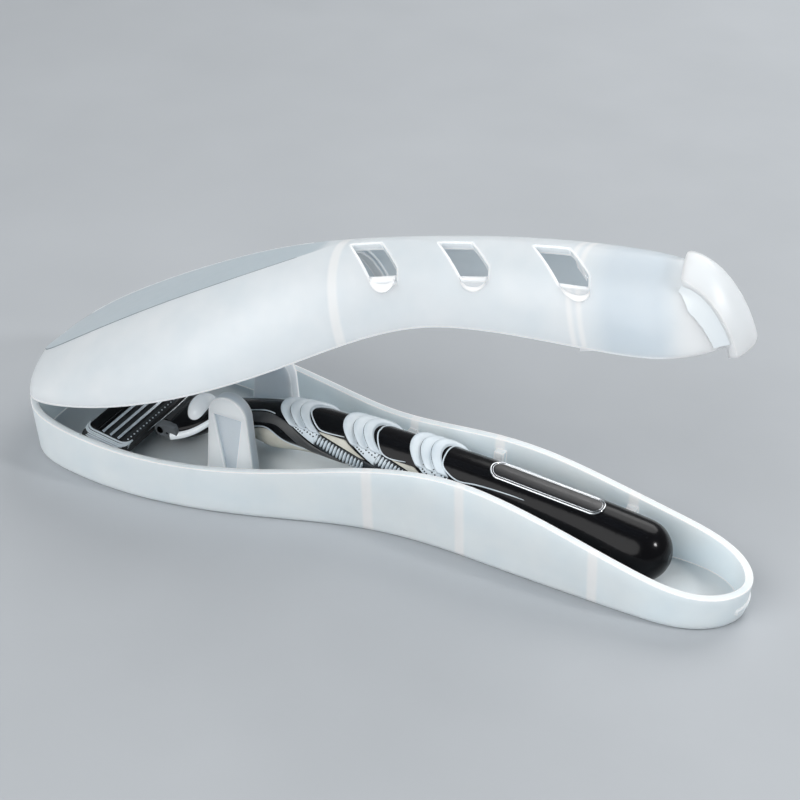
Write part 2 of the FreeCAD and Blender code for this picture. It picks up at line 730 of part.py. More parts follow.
def plunger():
    """The pin in the neck's bore, with a round tip towards the hub."""
    pin = doc.addObject("Part::Cylinder", "plunger_pin")
    bind(pin, Radius="sizes.plunger_radius", Height="sizes.plunger_length - sizes.plunger_radius")
    tip = doc.addObject("Part::Sphere", "plunger_tip")
    bind(tip, Radius="sizes.plunger_radius")
    made = doc.addObject("Part::Fuse", "plunger")
    made.Label = "plunger"
    made.Base = pin
    made.Tool = tip
    place = Vector(PLUNGER_TIP + size("plunger_radius"), 0, PLUNGER_HEIGHT)
    made.Placement = Placement(place, Rotation(UP, ALONG))
    return made


def cartridge_place():
    """Placement of the cartridge's own frame: its origin on the pivot, tilted with the far edge up."""
    return Placement(PIVOT, Rotation(ACROSS, size("cartridge_tilt")))


GUARD_EDGE = -size("cartridge_setback")
FAR_EDGE = GUARD_EDGE - size("cartridge_depth")
FACE = size("cartridge_rise")
BACK = FACE - size("cartridge_thickness")
HALF_CARTRIDGE = size("cartridge_width") / 2
WINDOW_HIGH = GUARD_EDGE - size("window_setback")
WINDOW_LOW = WINDOW_HIGH - size("window_depth")
GUARD_HIGH = GUARD_EDGE - size("strip_margin")
LUBRICANT_LOW = FAR_EDGE + size("strip_margin")
HALF_WINDOW = size("window_width") / 2


def strip_box(label, length_alias, low):
    """A strip that lies in a recess of the cartridge frame, standing a little proud of it."""
    strip = doc.addObject("Part::Box", label)
    strip.Label = label
    bind(strip, Length="sizes." + length_alias, Width="sizes.window_width",
         Height="sizes.strip_recess + sizes.strip_rise")
    local = Placement(Vector(low, -HALF_WINDOW, FACE - size("strip_recess")), Rotation())
    strip.Placement = cartridge_place().multiply(local)
    return strip


def cartridge_frame():
    """The plastic frame: a plate with rounded long edges, the blade window and the two strip recesses."""
    plate = block(Vector(FAR_EDGE, -HALF_CARTRIDGE, BACK), Vector(GUARD_EDGE, HALF_CARTRIDGE, FACE))
    long_edges = [e for e in plate.Edges if e.BoundBox.YLength > HALF_CARTRIDGE]
    plate = plate.makeFillet(size("cartridge_round"), long_edges)
    plate = plate.cut(block(Vector(WINDOW_LOW, -HALF_WINDOW, BACK - OVERRUN),
                            Vector(WINDOW_HIGH, HALF_WINDOW, FACE + OVERRUN)))
    floor = FACE - size("strip_recess")
    for low, depth in ((GUARD_HIGH - size("guard_depth"), size("guard_depth")),
                       (LUBRICANT_LOW, size("lubricant_depth"))):
        plate = plate.cut(block(Vector(low, -HALF_WINDOW, floor),
                                Vector(low + depth, HALF_WINDOW, FACE + OVERRUN)))
    return plate


def blade(number):
    """One blade: a thin leaning steel strip across the window."""
    label = "blade_%d" % (number + 1)
    strip = doc.addObject("Part::Box", label)
    strip.Label = label
    bind(strip, Length="sizes.blade_depth", Width="sizes.window_width - 2 * sizes.blade_clearance",
         Height="sizes.blade_thickness")
    pitch = size("window_depth") / BLADE_COUNT
    lean = Rotation(ACROSS, size("blade_angle"))
    middle = Vector(WINDOW_LOW + pitch * (number + 1 / 2), 0, FACE - size("blade_depth") / 2)
    own_middle = Vector(size("blade_depth") / 2, HALF_WINDOW - size("blade_clearance"),
                        size("blade_thickness") / 2)
    local = Placement(middle - lean.multVec(own_middle), lean)
    strip.Placement = cartridge_place().multiply(local)
    return strip


def end_clip(side):
    """A bent metal clip round one end of the cartridge frame."""
    gap = size("clip_clearance")
    skin = gap + size("clip_thickness")
    middle = (WINDOW_LOW + WINDOW_HIGH) / 2
    half = size("clip_depth") / 2
    inside = HALF_CARTRIDGE - size("clip_reach")
    outer = block(Vector(middle - half, inside, BACK - skin),
                  Vector(middle + half, HALF_CARTRIDGE + skin, FACE + skin))
    inner = block(Vector(middle - size("clip_depth"), 0, BACK - gap),
                  Vector(middle + size("clip_depth"), HALF_CARTRIDGE + gap, FACE + gap))
    clip = outer.cut(inner)
    return clip if side > 0 else clip.mirror(Vector(), ACROSS)


def cartridge_hub():
    """The block under the cartridge's guard edge, with the pivot pin through it."""
    eye = size("hub_eye_radius")
    half = size("hub_width") / 2
    hub = rod(eye, -ACROSS * half, ACROSS * half)
    hub = hub.fuse(block(Vector(-eye, -half, -size("hub_drop")), Vector(eye, half, 0)))
    hub = hub.fuse(block(Vector(GUARD_EDGE - size("hub_plate_depth"), -half, BACK - size("hub_plate")),
                         Vector(0, half, BACK)))
    reach = size("yoke_gap") / 2 + size("yoke_arm_width")
    return hub.fuse(rod(size("pivot_pin_radius"), -ACROSS * reach, ACROSS * reach)).removeSplitter()


def build():
    """Makes every sub-part and returns them in order."""
    tilted = cartridge_place()
    made = [feature("base_tray", base_tray()), feature("lid_shell", lid_shell(), swing_open()),
            feature("hinge_web", hinge_web()),
            feature("handle_core", handle_solid(0)), feature("neck_housing", neck_housing())]
    for label, share in FIN_GROUP_SHARES.items():
        made.append(feature(label, fin_group(along_handle(share))))
    made += [feature("side_grip_near", side_grip(-1)), feature("side_grip_far", side_grip(1)),
             feature("handle_plaque", handle_plaque()), feature("underside_pad", underside_pad()),
             release_button(), ejector_slide(), plunger()]
    coil, place = coil_spring(size("button_spring_radius"), size("button_spring_length"),
                              Vector(SLIDE_BACK, 0, size("slide_height") + size("slide_thickness") / 2))
    made.append(feature("button_spring", coil, place))
    coil, place = coil_spring(size("plunger_spring_radius"), size("plunger_spring_length"),
                              Vector(PLUNGER_BACK, 0, PLUNGER_HEIGHT))
    made.append(feature("plunger_spring", coil, place))
    made += [feature("cartridge_hub", cartridge_hub(), tilted),
             feature("cartridge_frame", cartridge_frame(), tilted),
             strip_box("guard_strip", "guard_depth", GUARD_HIGH - size("guard_depth")),
             strip_box("lubricating_strip", "lubricant_depth", LUBRICANT_LOW)]
    made += [blade(number) for number in range(BLADE_COUNT)]
    made += [feature("end_clip_near", end_clip(-1), tilted), feature("end_clip_far", end_clip(1), tilted)]
    return made


def export(made):
    """Checks every object of the document and writes one file for each sub-part."""
    doc.recompute()
    for item in doc.Objects:
        if "Invalid" in item.State or "Error" in item.State:
            raise RuntimeError("%s did not compute" % item.Label)
    os.makedirs("parts", exist_ok=True)
    for item in made:
        if item.Shape.isNull() or not item.Shape.isValid():
            raise RuntimeError("%s has no valid shape" % item.Label)
        item.Shape.exportStep("parts/%s.step" % item.Label)
        print(item.Label, len(item.Shape.Solids), round(item.Shape.Volume, 1))


export(build())
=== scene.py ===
"""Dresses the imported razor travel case: frosted case, hinge web, razor handle with its grips, neck, button
and cartridge, and the studio round them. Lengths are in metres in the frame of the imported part: +X from the
hinge end to the tip, -Y towards the photo's camera, +Z up, and Z = 0 on the table."""
import json
import math

import bmesh
import bpy
import numpy as np
from bpy.props import FloatProperty, FloatVectorProperty, PointerProperty
from mathutils import Matrix, Vector


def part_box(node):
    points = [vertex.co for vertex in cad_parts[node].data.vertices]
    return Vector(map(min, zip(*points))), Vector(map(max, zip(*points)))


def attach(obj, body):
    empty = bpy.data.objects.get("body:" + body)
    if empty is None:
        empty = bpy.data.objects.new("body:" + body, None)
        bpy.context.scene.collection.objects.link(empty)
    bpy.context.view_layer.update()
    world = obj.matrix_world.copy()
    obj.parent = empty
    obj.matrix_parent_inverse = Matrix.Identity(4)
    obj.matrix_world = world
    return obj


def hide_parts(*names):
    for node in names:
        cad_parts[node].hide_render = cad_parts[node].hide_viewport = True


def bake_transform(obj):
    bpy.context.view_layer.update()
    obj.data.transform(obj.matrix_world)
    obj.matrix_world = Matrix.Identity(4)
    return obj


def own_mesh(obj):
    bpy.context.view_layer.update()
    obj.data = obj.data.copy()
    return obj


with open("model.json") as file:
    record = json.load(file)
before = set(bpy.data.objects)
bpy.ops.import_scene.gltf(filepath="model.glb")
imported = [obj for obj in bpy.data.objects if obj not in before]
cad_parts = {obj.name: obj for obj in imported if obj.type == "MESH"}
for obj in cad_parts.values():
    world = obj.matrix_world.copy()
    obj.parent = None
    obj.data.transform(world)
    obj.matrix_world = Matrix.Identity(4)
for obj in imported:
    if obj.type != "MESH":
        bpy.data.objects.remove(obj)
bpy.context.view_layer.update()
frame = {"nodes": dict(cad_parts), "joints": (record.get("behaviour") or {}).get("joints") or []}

bl_info = {
    "name": "Razor travel case",
    "version": (1, 0, 0),
    "blender": (4, 2, 0),
    "location": "3D View > Sidebar > Razor case",
    "description": "Builds the looks of a frosted razor travel case with its razor round the packed parts",
    "category": "Object",
}

# Handle, front to back: place as a share of its length, middle height as a share of its highest top, and
# half height and half width as shares of those at its end
HANDLE_SHARES = np.array([
    (0.0, 0.552, 0.472, 0.555), (0.06, 0.631, 0.515, 0.597), (0.13, 0.704, 0.611, 0.68),
    (0.20, 0.741, 0.680, 0.764), (0.30, 0.741, 0.735, 0.82), (0.43, 0.725, 0.785, 0.85),
    (0.58, 0.69, 0.833, 0.875), (0.73, 0.612, 0.9, 0.93), (0.87, 0.51, 0.972, 0.979),
    (0.936, 0.4532, 1.0, 1.0)])
# Grip: length along the handle's top at which each fin group starts, from the front of the first one
GROUP_STARTS = np.array([0.0, 0.0170, 0.0345])
GROUP_NAMES = ("front", "middle", "rear")
# Dotted bands: turn from the handle's top at which they start and, group by group, end
BAND_START = 47
BAND_ENDS = (112, 100, 96)
# Side band from the neck to the grip: length along the handle, upper and lower border as turns from the top
SIDE_BAND = np.array([(-0.040, 40, 78), (-0.033, 38, 76), (-0.029, 35, 72), (-0.0255, 43, 71),
                      (-0.021, 61, 97), (-0.0158, 92, 134), (-0.0115, 110, 148), (-0.006, 130, 160)])
# Underside pad: length along the handle, its border as a turn from the top, its rise in millimetres
PAD = np.array([(-0.0362, 112, 0.0), (-0.0345, 98, 0.5), (-0.0326, 90, 1.0), (-0.0300, 82, 1.5),
                (-0.0275, 84, 1.9), (-0.0250, 102, 1.8), (-0.0234, 117, 1.6), (-0.0192, 140, 1.2),
                (-0.0130, 156, 1.0), (-0.0070, 166, 0.6)])
# Lips round the front ends of the grip windows: length along the handle and turn from the top, mirrored
WINDOW_LIPS = (
    np.array([(-0.0180, 0), (-0.0175, 16), (-0.0148, 43), (-0.0120, 51), (-0.0072, 48)]),
    np.array([(0.0000, 0), (0.0002, 18), (0.0022, 50), (0.0050, 63), (0.0092, 59)]),
    np.array([(0.0173, 0), (0.0175, 26), (0.0182, 43), (0.0202, 55), (0.0227, 61), (0.0258, 57), (0.0298, 53),
              (0.0348, 50), (0.0385, 49)]))
# Vent sills on the closed lid: the two ends under each vent and the lowest point between them
SILLS = np.array([[(0.0132, -0.0078, 0.0314), (0.0198, -0.0077, 0.0312), (0.0165, -0.0095, 0.0282)],
                  [(0.0354, -0.0081, 0.0300), (0.0419, -0.0081, 0.0294), (0.0388, -0.0098, 0.0269)],
                  [(0.0580, -0.0083, 0.0268), (0.0646, -0.0083, 0.0254), (0.0621, -0.0101, 0.0232)]])
# Inner ribs behind the wall, shown as painted bright bands, of the tray and of the closed lid: place along
# the case, half width
TRAY_RIBS = ((0.0029, 0.0009), (0.0256, 0.0009), (0.0583, 0.0009))
LID_RIBS = ((0.0038, 0.0009), (0.0600, 0.0003), (0.0621, 0.0003))
# Neck: length along the handle, middle height, half height, half width
NECK = np.array([(-0.0436, 0.0112, 0.0034, 0.0040), (-0.0455, 0.0098, 0.0036, 0.0047),
                 (-0.0480, 0.0082, 0.0036, 0.0057), (-0.0505, 0.0073, 0.0036, 0.0069),
                 (-0.0530, 0.0069, 0.0034, 0.0080), (-0.0548, 0.0068, 0.0027, 0.0084),
                 (-0.0556, 0.0068, 0.0017, 0.0080)])
# Neck posts of the tray, where their painted light and shade fade in: half length, outer face, raised face
# and foot
POST_PLACE = -0.0344
POST_HALF = (0.0082, 0.0070)
POST_OUT = (0.0128, 0.0120)
POST_FACE = (0.0107, 0.0113)
POST_FOOT = (0.0022, 0.0040)
# Painted light and shade along the closed lid, where they fade in: both ends of the nose, the tip, the glow
# of the edges
NOSE_START = (0.0625, 0.0690)
NOSE_END = (0.0825, 0.0775)
TIP_START = (0.0800, 0.0840)
GLOW_END = (0.0815, 0.0775)
# Facet of the lid, where its painted grey fades in along the case: a painted reflection of dark surroundings
FACET_END = (-0.012, -0.016)
# Finishes: size of a coarse and of a fine grain, roughness and index of the frosted plastic
COARSE, FINE = 0.0004, 0.0002
FROST = (0.34, 0.40)
FROST_INDEX = 1.49
MILKY = {"IOR": FROST_INDEX, "Subsurface_Weight": 1.0, "Subsurface_Radius": (1.0, 1.0, 1.0)}


def linear(code):
    """Linear colour with full alpha from an sRGB hex value."""
    shares = np.array([int(code[i:i + 2], 16) for i in (0, 2, 4)]) / 255
    light = np.where(shares <= 0.04045, shares / 12.92, ((shares + 0.055) / 1.055) ** 2.4)
    return (*light.tolist(), 1.0)


def length(name, description, default):
    """A length property in metres."""
    return FloatProperty(name=name, description=description, default=default, unit="LENGTH", precision=5)


def angle(name, description, degrees):
    """An angle property given in degrees."""
    return FloatProperty(name=name, description=description, default=math.radians(degrees), subtype="ANGLE")


class RazorCaseSizes(bpy.types.PropertyGroup):
    """Driving sizes of the looks of the case and its razor."""
    tab_half: length("Half tab", "Half width of the lid's pull tab", 0.0056)
    fillet_width: length("Tab fillet", "Width of the fillet beside the pull tab", 0.0024)
    handle_top: length("Handle top", "Height of the highest point of the handle", 0.0203)
    handle_half: length("Handle half width", "Half height and half width of the handle at its end", 0.0072)
    handle_round: length("Handle end", "Length of the handle's rounded end", 0.0074)
    grip_front: length("Grip front", "Place of the first fin on the handle's top", -0.0263)
    group_length: length("Fin group", "Length of a group of three fins along the handle", 0.0081)
    fin_rise: length("Fin rise", "Height of the fins over the handle", 0.00115)
    sheath_rise: length("Sheath rise", "Height of the rubber sheath over the handle", 0.0004)
    sheath_sink: length("Sheath sink", "Depth of the sheath's border under the handle's skin", 0.0004)
    sweep: length("Sweep", "How far the first grip edge runs back from the top to the side", 0.0107)
    sweep_loss: length("Sweep loss", "How much less the last grip edge runs back", 0.0027)
    dot_radius: length("Dot radius", "Half width of a grip dot", 0.0004)
    dot_pitch: length("Dot pitch", "Distance between grip dots along their row", 0.0009)
    dots_end: angle("End of the dots", "Turn from the handle's top at which bars follow the dots", 70.0)
    bead: length("Bead", "Radius of the thin lips round the grip windows", 0.00017)
    button_length: length("Button half length", "Half length of the release button", 0.0033)
    button_width: length("Button half width", "Half width of the release button", 0.0046)
    button_height: length("Button rise", "Rise of the release button's dome", 0.0039)
    plaque_half: length("Plaque half width", "Half width of the bare plaque on the handle", 0.0025)
    plaque_lean: angle("Plaque lean", "Turn of the plaque from the handle's top to the near side", -4.0)
    cartridge_tilt: angle("Cartridge tilt", "Lean of the stored cartridge", 9.0)


class RazorCaseStage(bpy.types.PropertyGroup):
    """Camera and light."""
    target: FloatVectorProperty(name="Target", description="Point that the camera looks at",
                                default=(0.00353, 0.00254, 0.02806), unit="LENGTH", precision=5)
    azimuth: angle("Azimuth", "Turn of the camera round the case", 28.07)
    elevation: angle("Elevation", "Height of the camera over the horizon", 33.38)
    distance: length("Distance", "Distance of the camera from its target", 0.4236)
    focal: FloatProperty(name="Focal length", description="Focal length in millimetres on a 36 mm sensor",
                         default=83.889)
    ambient: FloatProperty(name="Ambient", description="Strength of the light from all round", default=0.28)


def sizes():
    return bpy.context.scene.razor_case_sizes


def smoothstep(low, high, value):
    """Zero below low, one above high, with a smooth S between."""
    share = np.clip((value - low) / (high - low), 0, 1)
    return share * share * (3 - 2 * share)


def within(value, low, high, soft):
    """One between low and high and zero outside, with smooth steps of the soft width inside both ends."""
    return smoothstep(low, low + soft, value) * (1 - smoothstep(high - soft, high, value))


def spline(at, places, values):
    """The natural cubic through (places, values): second derivatives from its tridiagonal system, then the
    cubic of each span."""
    step = np.diff(places)
    matrix = np.eye(len(places))
    right = np.zeros(len(places))
    inner = np.arange(1, len(places) - 1)
    matrix[inner, inner - 1] = step[:-1]
    matrix[inner, inner] = 2 * (step[:-1] + step[1:])
    matrix[inner, inner + 1] = step[1:]
    right[1:-1] = 6 * np.diff(np.diff(values) / step)
    bend = np.linalg.solve(matrix, right)
    at = np.clip(at, places[0], places[-1])
    span = np.clip(np.searchsorted(places, at, side="right") - 1, 0, len(step) - 1)
    wide = step[span]
    after, before = (at - places[span]) / wide, (places[span + 1] - at) / wide
    curved = ((before ** 3 - before) * bend[span] + (after ** 3 - after) * bend[span + 1]) * wide ** 2 / 6
    return before * values[span] + after * values[span + 1] + curved


def grid_faces(rows, columns, ring=False):
    """Four-sided faces of a grid of points numbered row by row; ring joins the last column to the first."""
    row, column = np.meshgrid(np.arange(rows - 1), np.arange(columns if ring else columns - 1), indexing="ij")
    beside = (column + 1) % columns
    corners = (row * columns + column, row * columns + beside, (row + 1) * columns + beside,
               (row + 1) * columns + column)
    return np.stack(corners, -1).reshape(-1, 4)


def loft(rings):
    """A closed solid through rings of points, an array of ring x point x 3, with a flat face on each end."""
    count, around = rings.shape[:2]
    faces = grid_faces(count, around, ring=True).tolist()
    faces.append(list(range(around)))
    faces.append(list(range((count - 1) * around, count * around)))
    return rings.reshape(-1, 3), faces


def shell(outer, inner):
    """A closed plate between two grids of points of one shape: both grids as faces, joined at the border."""
    rows, columns = outer.shape[:2]
    number = np.arange(rows * columns).reshape(rows, columns)
    border = np.concatenate([number[0, :-1], number[:-1, -1], number[-1, :0:-1], number[:0:-1, 0]])
    beside = np.roll(border, -1)
    top = grid_faces(rows, columns)
    under = rows * columns
    rim = np.stack([border, beside, beside + under, border + under], -1)
    faces = np.concatenate([top, top[:, ::-1] + under, rim])
    return np.concatenate([outer.reshape(-1, 3), inner.reshape(-1, 3)]), faces.tolist()


def tube(path, radius, closed=False, around=10):
    """A round bead along a path of points: a circle of the given radius set across the path at each point.
    The radius may change along the path. Open ends are flat."""
    path = np.asarray(path, float)
    radius = np.broadcast_to(radius, len(path))
    if closed:
        ahead = np.roll(path, -1, 0) - np.roll(path, 1, 0)
    else:
        ahead = np.gradient(path, axis=0)
    ahead /= np.linalg.norm(ahead, axis=1, keepdims=True)
    aside = np.cross(ahead, np.array([0.13, 0.31, 0.94]))
    aside /= np.linalg.norm(aside, axis=1, keepdims=True)
    above = np.cross(aside, ahead)
    turn = np.linspace(0, 2 * np.pi, around, endpoint=False)
    ring = aside[:, None] * np.cos(turn)[:, None] + above[:, None] * np.sin(turn)[:, None]
    rings = path[:, None] + ring * radius[:, None, None]
    if not closed:
        return loft(rings)
    rings = np.concatenate([rings, rings[:1]])
    points = rings[:-1].reshape(-1, 3)
    faces = grid_faces(len(rings), around, ring=True) % len(points)
    return points, faces.tolist()


def joined(parts):
    """One list of points and faces from several."""
    points, faces, start = [], [], 0
    for some_points, some_faces in parts:
        points.append(some_points)
        faces += [[corner + start for corner in face] for face in some_faces]
        start += len(some_points)
    return np.concatenate(points), faces


def domes(centres, across, along, out):
    """Small rounded nubs: a quarter-round profile turned about the outward direction at each centre. Each nub
    has three rings and a flat top and bottom; across, along and out give its half sizes as directions."""
    rise = np.radians([-20.0, 20.0, 62.0])
    around = 8
    turn = np.linspace(0, 2 * np.pi, around, endpoint=False)
    flat = np.stack([np.outer(np.cos(rise), np.cos(turn)), np.outer(np.cos(rise), np.sin(turn)),
                     np.outer(np.sin(rise), np.ones(around))])
    sideways, forwards, upwards = flat[:, None, ..., None]
    spread = (sideways * across[:, None, None] + forwards * along[:, None, None]
              + upwards * out[:, None, None])
    points = (centres[:, None, None] + spread).reshape(-1, 3)
    count = len(rise) * around
    base = (np.arange(len(centres)) * count)[:, None, None]
    sides = (grid_faces(len(rise), around, ring=True)[None] + base).reshape(-1, 4)
    ends = np.stack([np.arange(count - around, count), np.arange(around)[::-1]])
    caps = (ends[None] + base).reshape(-1, around)
    return points, sides.tolist() + caps.tolist()


def make_piece(name, surface, finishes, body, stands_for=(), face_finish=None, crease=None):
    """A named piece from points and faces, with outward faces and smooth shading, that rides on a body."""
    points, faces = surface
    mesh = bpy.data.meshes.new(name)
    mesh.from_pydata(np.asarray(points).tolist(), [], faces)
    for material in finishes:
        mesh.materials.append(material)
    if face_finish is not None:
        mesh.polygons.foreach_set("material_index", np.asarray(face_finish, dtype=np.int32))
    work = bmesh.new()
    work.from_mesh(mesh)
    bmesh.ops.recalc_face_normals(work, faces=work.faces)
    work.to_mesh(mesh)
    work.free()
    mesh.polygons.foreach_set("use_smooth", np.ones(len(mesh.polygons), dtype=bool))
    if crease is not None:
        mesh.set_sharp_from_angle(angle=math.radians(crease))
    piece = bpy.data.objects.new(name, mesh)
    bpy.context.scene.collection.objects.link(piece)
    if body is not None:
        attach(piece, body)
    if stands_for:
        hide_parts(*stands_for)
    return piece


def handle_profile(x):
    """Middle height, half height and half width of the handle at a place along it: cubics through its
    stations, then a quarter ellipse to the end."""
    low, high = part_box("handle_core")
    place = (x - low.x) / (high.x - low.x)
    height, tall, wide = (spline(place, HANDLE_SHARES[:, 0], HANDLE_SHARES[:, i]) for i in (1, 2, 3))
    run = np.clip((x - (high.x - sizes().handle_round)) / sizes().handle_round, 0, 0.9999)
    end = np.sqrt(1 - run ** 2)
    return height * sizes().handle_top, tall * sizes().handle_half * end, wide * sizes().handle_half * end


def on_handle(x, turn, lift):
    """Points at a lift over the handle's skin: an ellipse across X, turned from the top, negative to -Y."""
    height, tall, wide = handle_profile(x)
    return np.stack([x + 0 * turn, (wide + lift) * np.sin(turn), height + (tall + lift) * np.cos(turn)], -1)


def skin_plate(x, turn, inside, rise):
    """A closed plate on the handle: its outside is at the rise over the skin where inside is one and sinks
    under the skin where it is zero, and its underside lies at twice the sink."""
    sink = sizes().sheath_sink
    lift = inside * (rise + sink) - sink
    return shell(on_handle(x, turn, lift), on_handle(x, turn, lift * 0 - 2 * sink))


def swept(start, turn):
    """Place along the handle of a grip edge that crosses the top at start: it runs back with 1 - cos of the
    turn, and less so towards the rear."""
    reach = sizes().sweep - sizes().sweep_loss * np.clip(start / GROUP_STARTS[-1], 0, 1)
    return sizes().grip_front + start + reach * (1 - np.cos(turn)) ** 1.1


def tail_width(turn):
    """Length along the handle of the dotted band behind a grip edge: it grows from the top downwards."""
    narrow, growth, over = 0.0042, 0.0128, math.radians(49)
    return narrow + growth * (np.abs(turn) - math.radians(BAND_START)) / over


def joint(name):
    """The joint of that name in the frame."""
    return next(j for j in frame["joints"] if j["name"] == name)


def lid_hinge():
    """Place of the lid's hinge axis and the angle by which the lid stands open at rest."""
    hinge = joint("lid_hinge")
    return np.array(hinge["pos_m"]), -math.radians(hinge["range_deg"][0])


def opened(points):
    """Points of the closed lid, swung about the hinge axis to where the lid stands at rest."""
    axis, lean = lid_hinge()
    x, y, z = np.moveaxis(points - axis, -1, 0)
    swung = (x * math.cos(lean) - z * math.sin(lean), y, x * math.sin(lean) + z * math.cos(lean))
    return axis + np.stack(swung, -1)


def on_lid(starts, ends):
    """Where straight lines, given on the closed lid, first meet the open lid."""
    lid = frame["nodes"]["lid_shell"]
    hits = [lid.ray_cast(Vector(a), Vector(b - a)) for a, b in zip(opened(starts), opened(ends))]
    if not all(hit[0] for hit in hits):
        raise RuntimeError("a line misses the lid")
    return np.array([hit[1] for hit in hits])


def add(tree, kind, inputs=None, **settings):
    """A shader node with its settings; inputs maps a socket to a value or to the output it is linked from."""
    made = tree.nodes.new(kind)
    for key, value in settings.items():
        setattr(made, key, value)
    for key, value in (inputs or {}).items():
        if isinstance(value, bpy.types.NodeSocket):
            tree.links.new(value, made.inputs[key])
        else:
            made.inputs[key].default_value = value
    return made


def noise(tree, grain, low, high, stretch=(1, 1, 1), detail=2.0):
    """A cloud pattern whose grains have the given size in metres, mapped to the range low to high."""
    place = add(tree, "ShaderNodeTexCoord")
    turned = add(tree, "ShaderNodeMapping", {"Vector": place.outputs["Object"], "Scale": stretch})
    cloud = add(tree, "ShaderNodeTexNoise", {"Vector": turned.outputs["Vector"], "Scale": 1 / grain,
                                             "Detail": detail})
    return add(tree, "ShaderNodeMapRange", {"Value": cloud.outputs["Fac"], "From Min": 0.3, "From Max": 0.7,
                                            "To Min": low, "To Max": high})


def mixed(tree, factor, one, other):
    """One colour where the factor is zero, the other where it is one."""
    return add(tree, "ShaderNodeMix", {0: factor, 6: one, 7: other}, data_type="RGBA").outputs[2]


def finish(name, colours, roughness, grain, bump, stretch=(1, 1, 1), **sockets):
    """A Principled material whose colour wanders between two shades, with a fine grain in roughness and
    relief."""
    material = bpy.data.materials.new(name)
    material.use_nodes = True
    tree = material.node_tree
    shader = tree.nodes["Principled BSDF"]
    cloud = noise(tree, grain * 24, 0, 1, stretch)
    colour = mixed(tree, cloud.outputs["Result"], linear(colours[0]), linear(colours[1]))
    tree.links.new(colour, shader.inputs["Base Color"])
    rough = noise(tree, grain * 5, roughness[0], roughness[1], stretch)
    tree.links.new(rough.outputs["Result"], shader.inputs["Roughness"])
    fine = noise(tree, grain, 0, 1, stretch)
    relief = add(tree, "ShaderNodeBump", {"Height": fine.outputs["Result"], "Strength": bump,
                                          "Distance": grain / 4})
    tree.links.new(relief.outputs["Normal"], shader.inputs["Normal"])
    for key, value in sockets.items():
        shader.inputs[key.replace("_", " ")].default_value = value
    return material


def made(name, build):
    """The material of that name, built on first use."""
    return bpy.data.materials.get(name) or build(name)


def kept(name, *look, **sockets):
    """The plain finish of that name, made on first use."""
    return made(name, lambda name: finish(name, *look, **sockets))


def shade(material, factor, colour):
    """Lays a second colour over the base colour of a material where the factor is one."""
    base = material.node_tree.nodes["Principled BSDF"].inputs["Base Color"]
    over = mixed(material.node_tree, factor, base.links[0].from_socket, linear(colour))
    material.node_tree.links.new(over, base)


def ramp(tree, value, low, high, top=1.0):
    """Zero where the value is at low, the top value where it is at high, with a smooth S between."""
    return add(tree, "ShaderNodeMapRange", {"Value": value, "From Min": low, "From Max": high, "To Max": top},
               interpolation_type="SMOOTHSTEP").outputs["Result"]


def reckon(tree, operation, *values):
    """The result of one step of arithmetic on values or outputs."""
    return add(tree, "ShaderNodeMath", dict(enumerate(values)), operation=operation).outputs["Value"]


def times(tree, one, other):
    """The product of two outputs."""
    return reckon(tree, "MULTIPLY", one, other)


def dot(tree, one, other):
    """The dot product of two directions."""
    return add(tree, "ShaderNodeVectorMath", {0: one, 1: other}, operation="DOT_PRODUCT").outputs["Value"]


def split(tree, vector):
    """The three parts of a vector, by name."""
    return add(tree, "ShaderNodeSeparateXYZ", {"Vector": vector}).outputs


def frosted(name, colours, ribs, lean, soft):
    """Milky moulding: light spreads inside the wall and a little of it passes. Ribs behind the wall show as
    soft bright bands of painted light: planes across the case, leant over with it. The edges get painted
    light, a white colour and a faint glow, where a normal rounded over the softness leans away from the real
    one."""
    material = finish(name, colours, FROST, COARSE, 0.03, Subsurface_Scale=0.0035, Transmission_Weight=0.12,
                      **MILKY)
    tree = material.node_tree
    place = add(tree, "ShaderNodeTexCoord").outputs["Object"]
    across = dot(tree, place, (math.cos(lean), 0, math.sin(lean)))
    # Painted light: a soft bright band over each rib, for the light it gathers behind the wall
    for rib, half in ribs:
        off = reckon(tree, "ABSOLUTE", reckon(tree, "ADD", across, -rib))
        shade(material, ramp(tree, off, half + 0.0007, half - 0.0002, 0.6), "FDFEFE")
    # Painted light: the edges are painted white and glow faintly
    rounded = add(tree, "ShaderNodeBevel", {"Radius": soft}, samples=6).outputs["Normal"]
    turn = dot(tree, rounded, add(tree, "ShaderNodeNewGeometry").outputs["Normal"])
    rounding = 0.86
    edge = ramp(tree, turn, 0.985, rounding)
    shade(material, edge, "FFFFFF")
    shader = tree.nodes["Principled BSDF"].inputs
    shader["Emission Color"].default_value = linear("EEF5FA")
    tree.links.new(times(tree, edge, ramp(tree, turn, 1.0, rounding, 0.14)), shader["Emission Strength"])
    return material


def tray_plastic():
    """Frosted polypropylene of the tray. Its two posts stand in the lid's shade, so they get painted light:
    their raised outer faces are painted whiter and glow a little, and the rest of each post a slightly darker
    painted shade.
    """
    def build(name):
        material = frosted(name, ("E1EDF4", "E8F2F7"), TRAY_RIBS, 0.0, 0.0007)
        tree = material.node_tree
        place = split(tree, add(tree, "ShaderNodeTexCoord").outputs["Object"])
        beside = reckon(tree, "ABSOLUTE", reckon(tree, "ADD", place["X"], -POST_PLACE))
        across = reckon(tree, "ABSOLUTE", place["Y"])
        near = times(tree, ramp(tree, beside, *POST_HALF), ramp(tree, across, *POST_OUT))
        post = times(tree, near, ramp(tree, place["Z"], *POST_FOOT))
        # Painted light and shade on the posts: a slightly darker tint over each post, then a whiter colour
        # and a faint glow on its raised faces
        shade(material, post, "DFE7EE")
        shade(material, times(tree, post, ramp(tree, across, *POST_FACE)), "F2F6F8")
        strength = tree.nodes["Principled BSDF"].inputs["Emission Strength"]
        gleam = times(tree, post, ramp(tree, across, *POST_FACE, 0.08))
        tree.links.new(reckon(tree, "ADD", strength.links[0].from_socket, gleam), strength)
        return material
    return made("frosted_polypropylene", build)


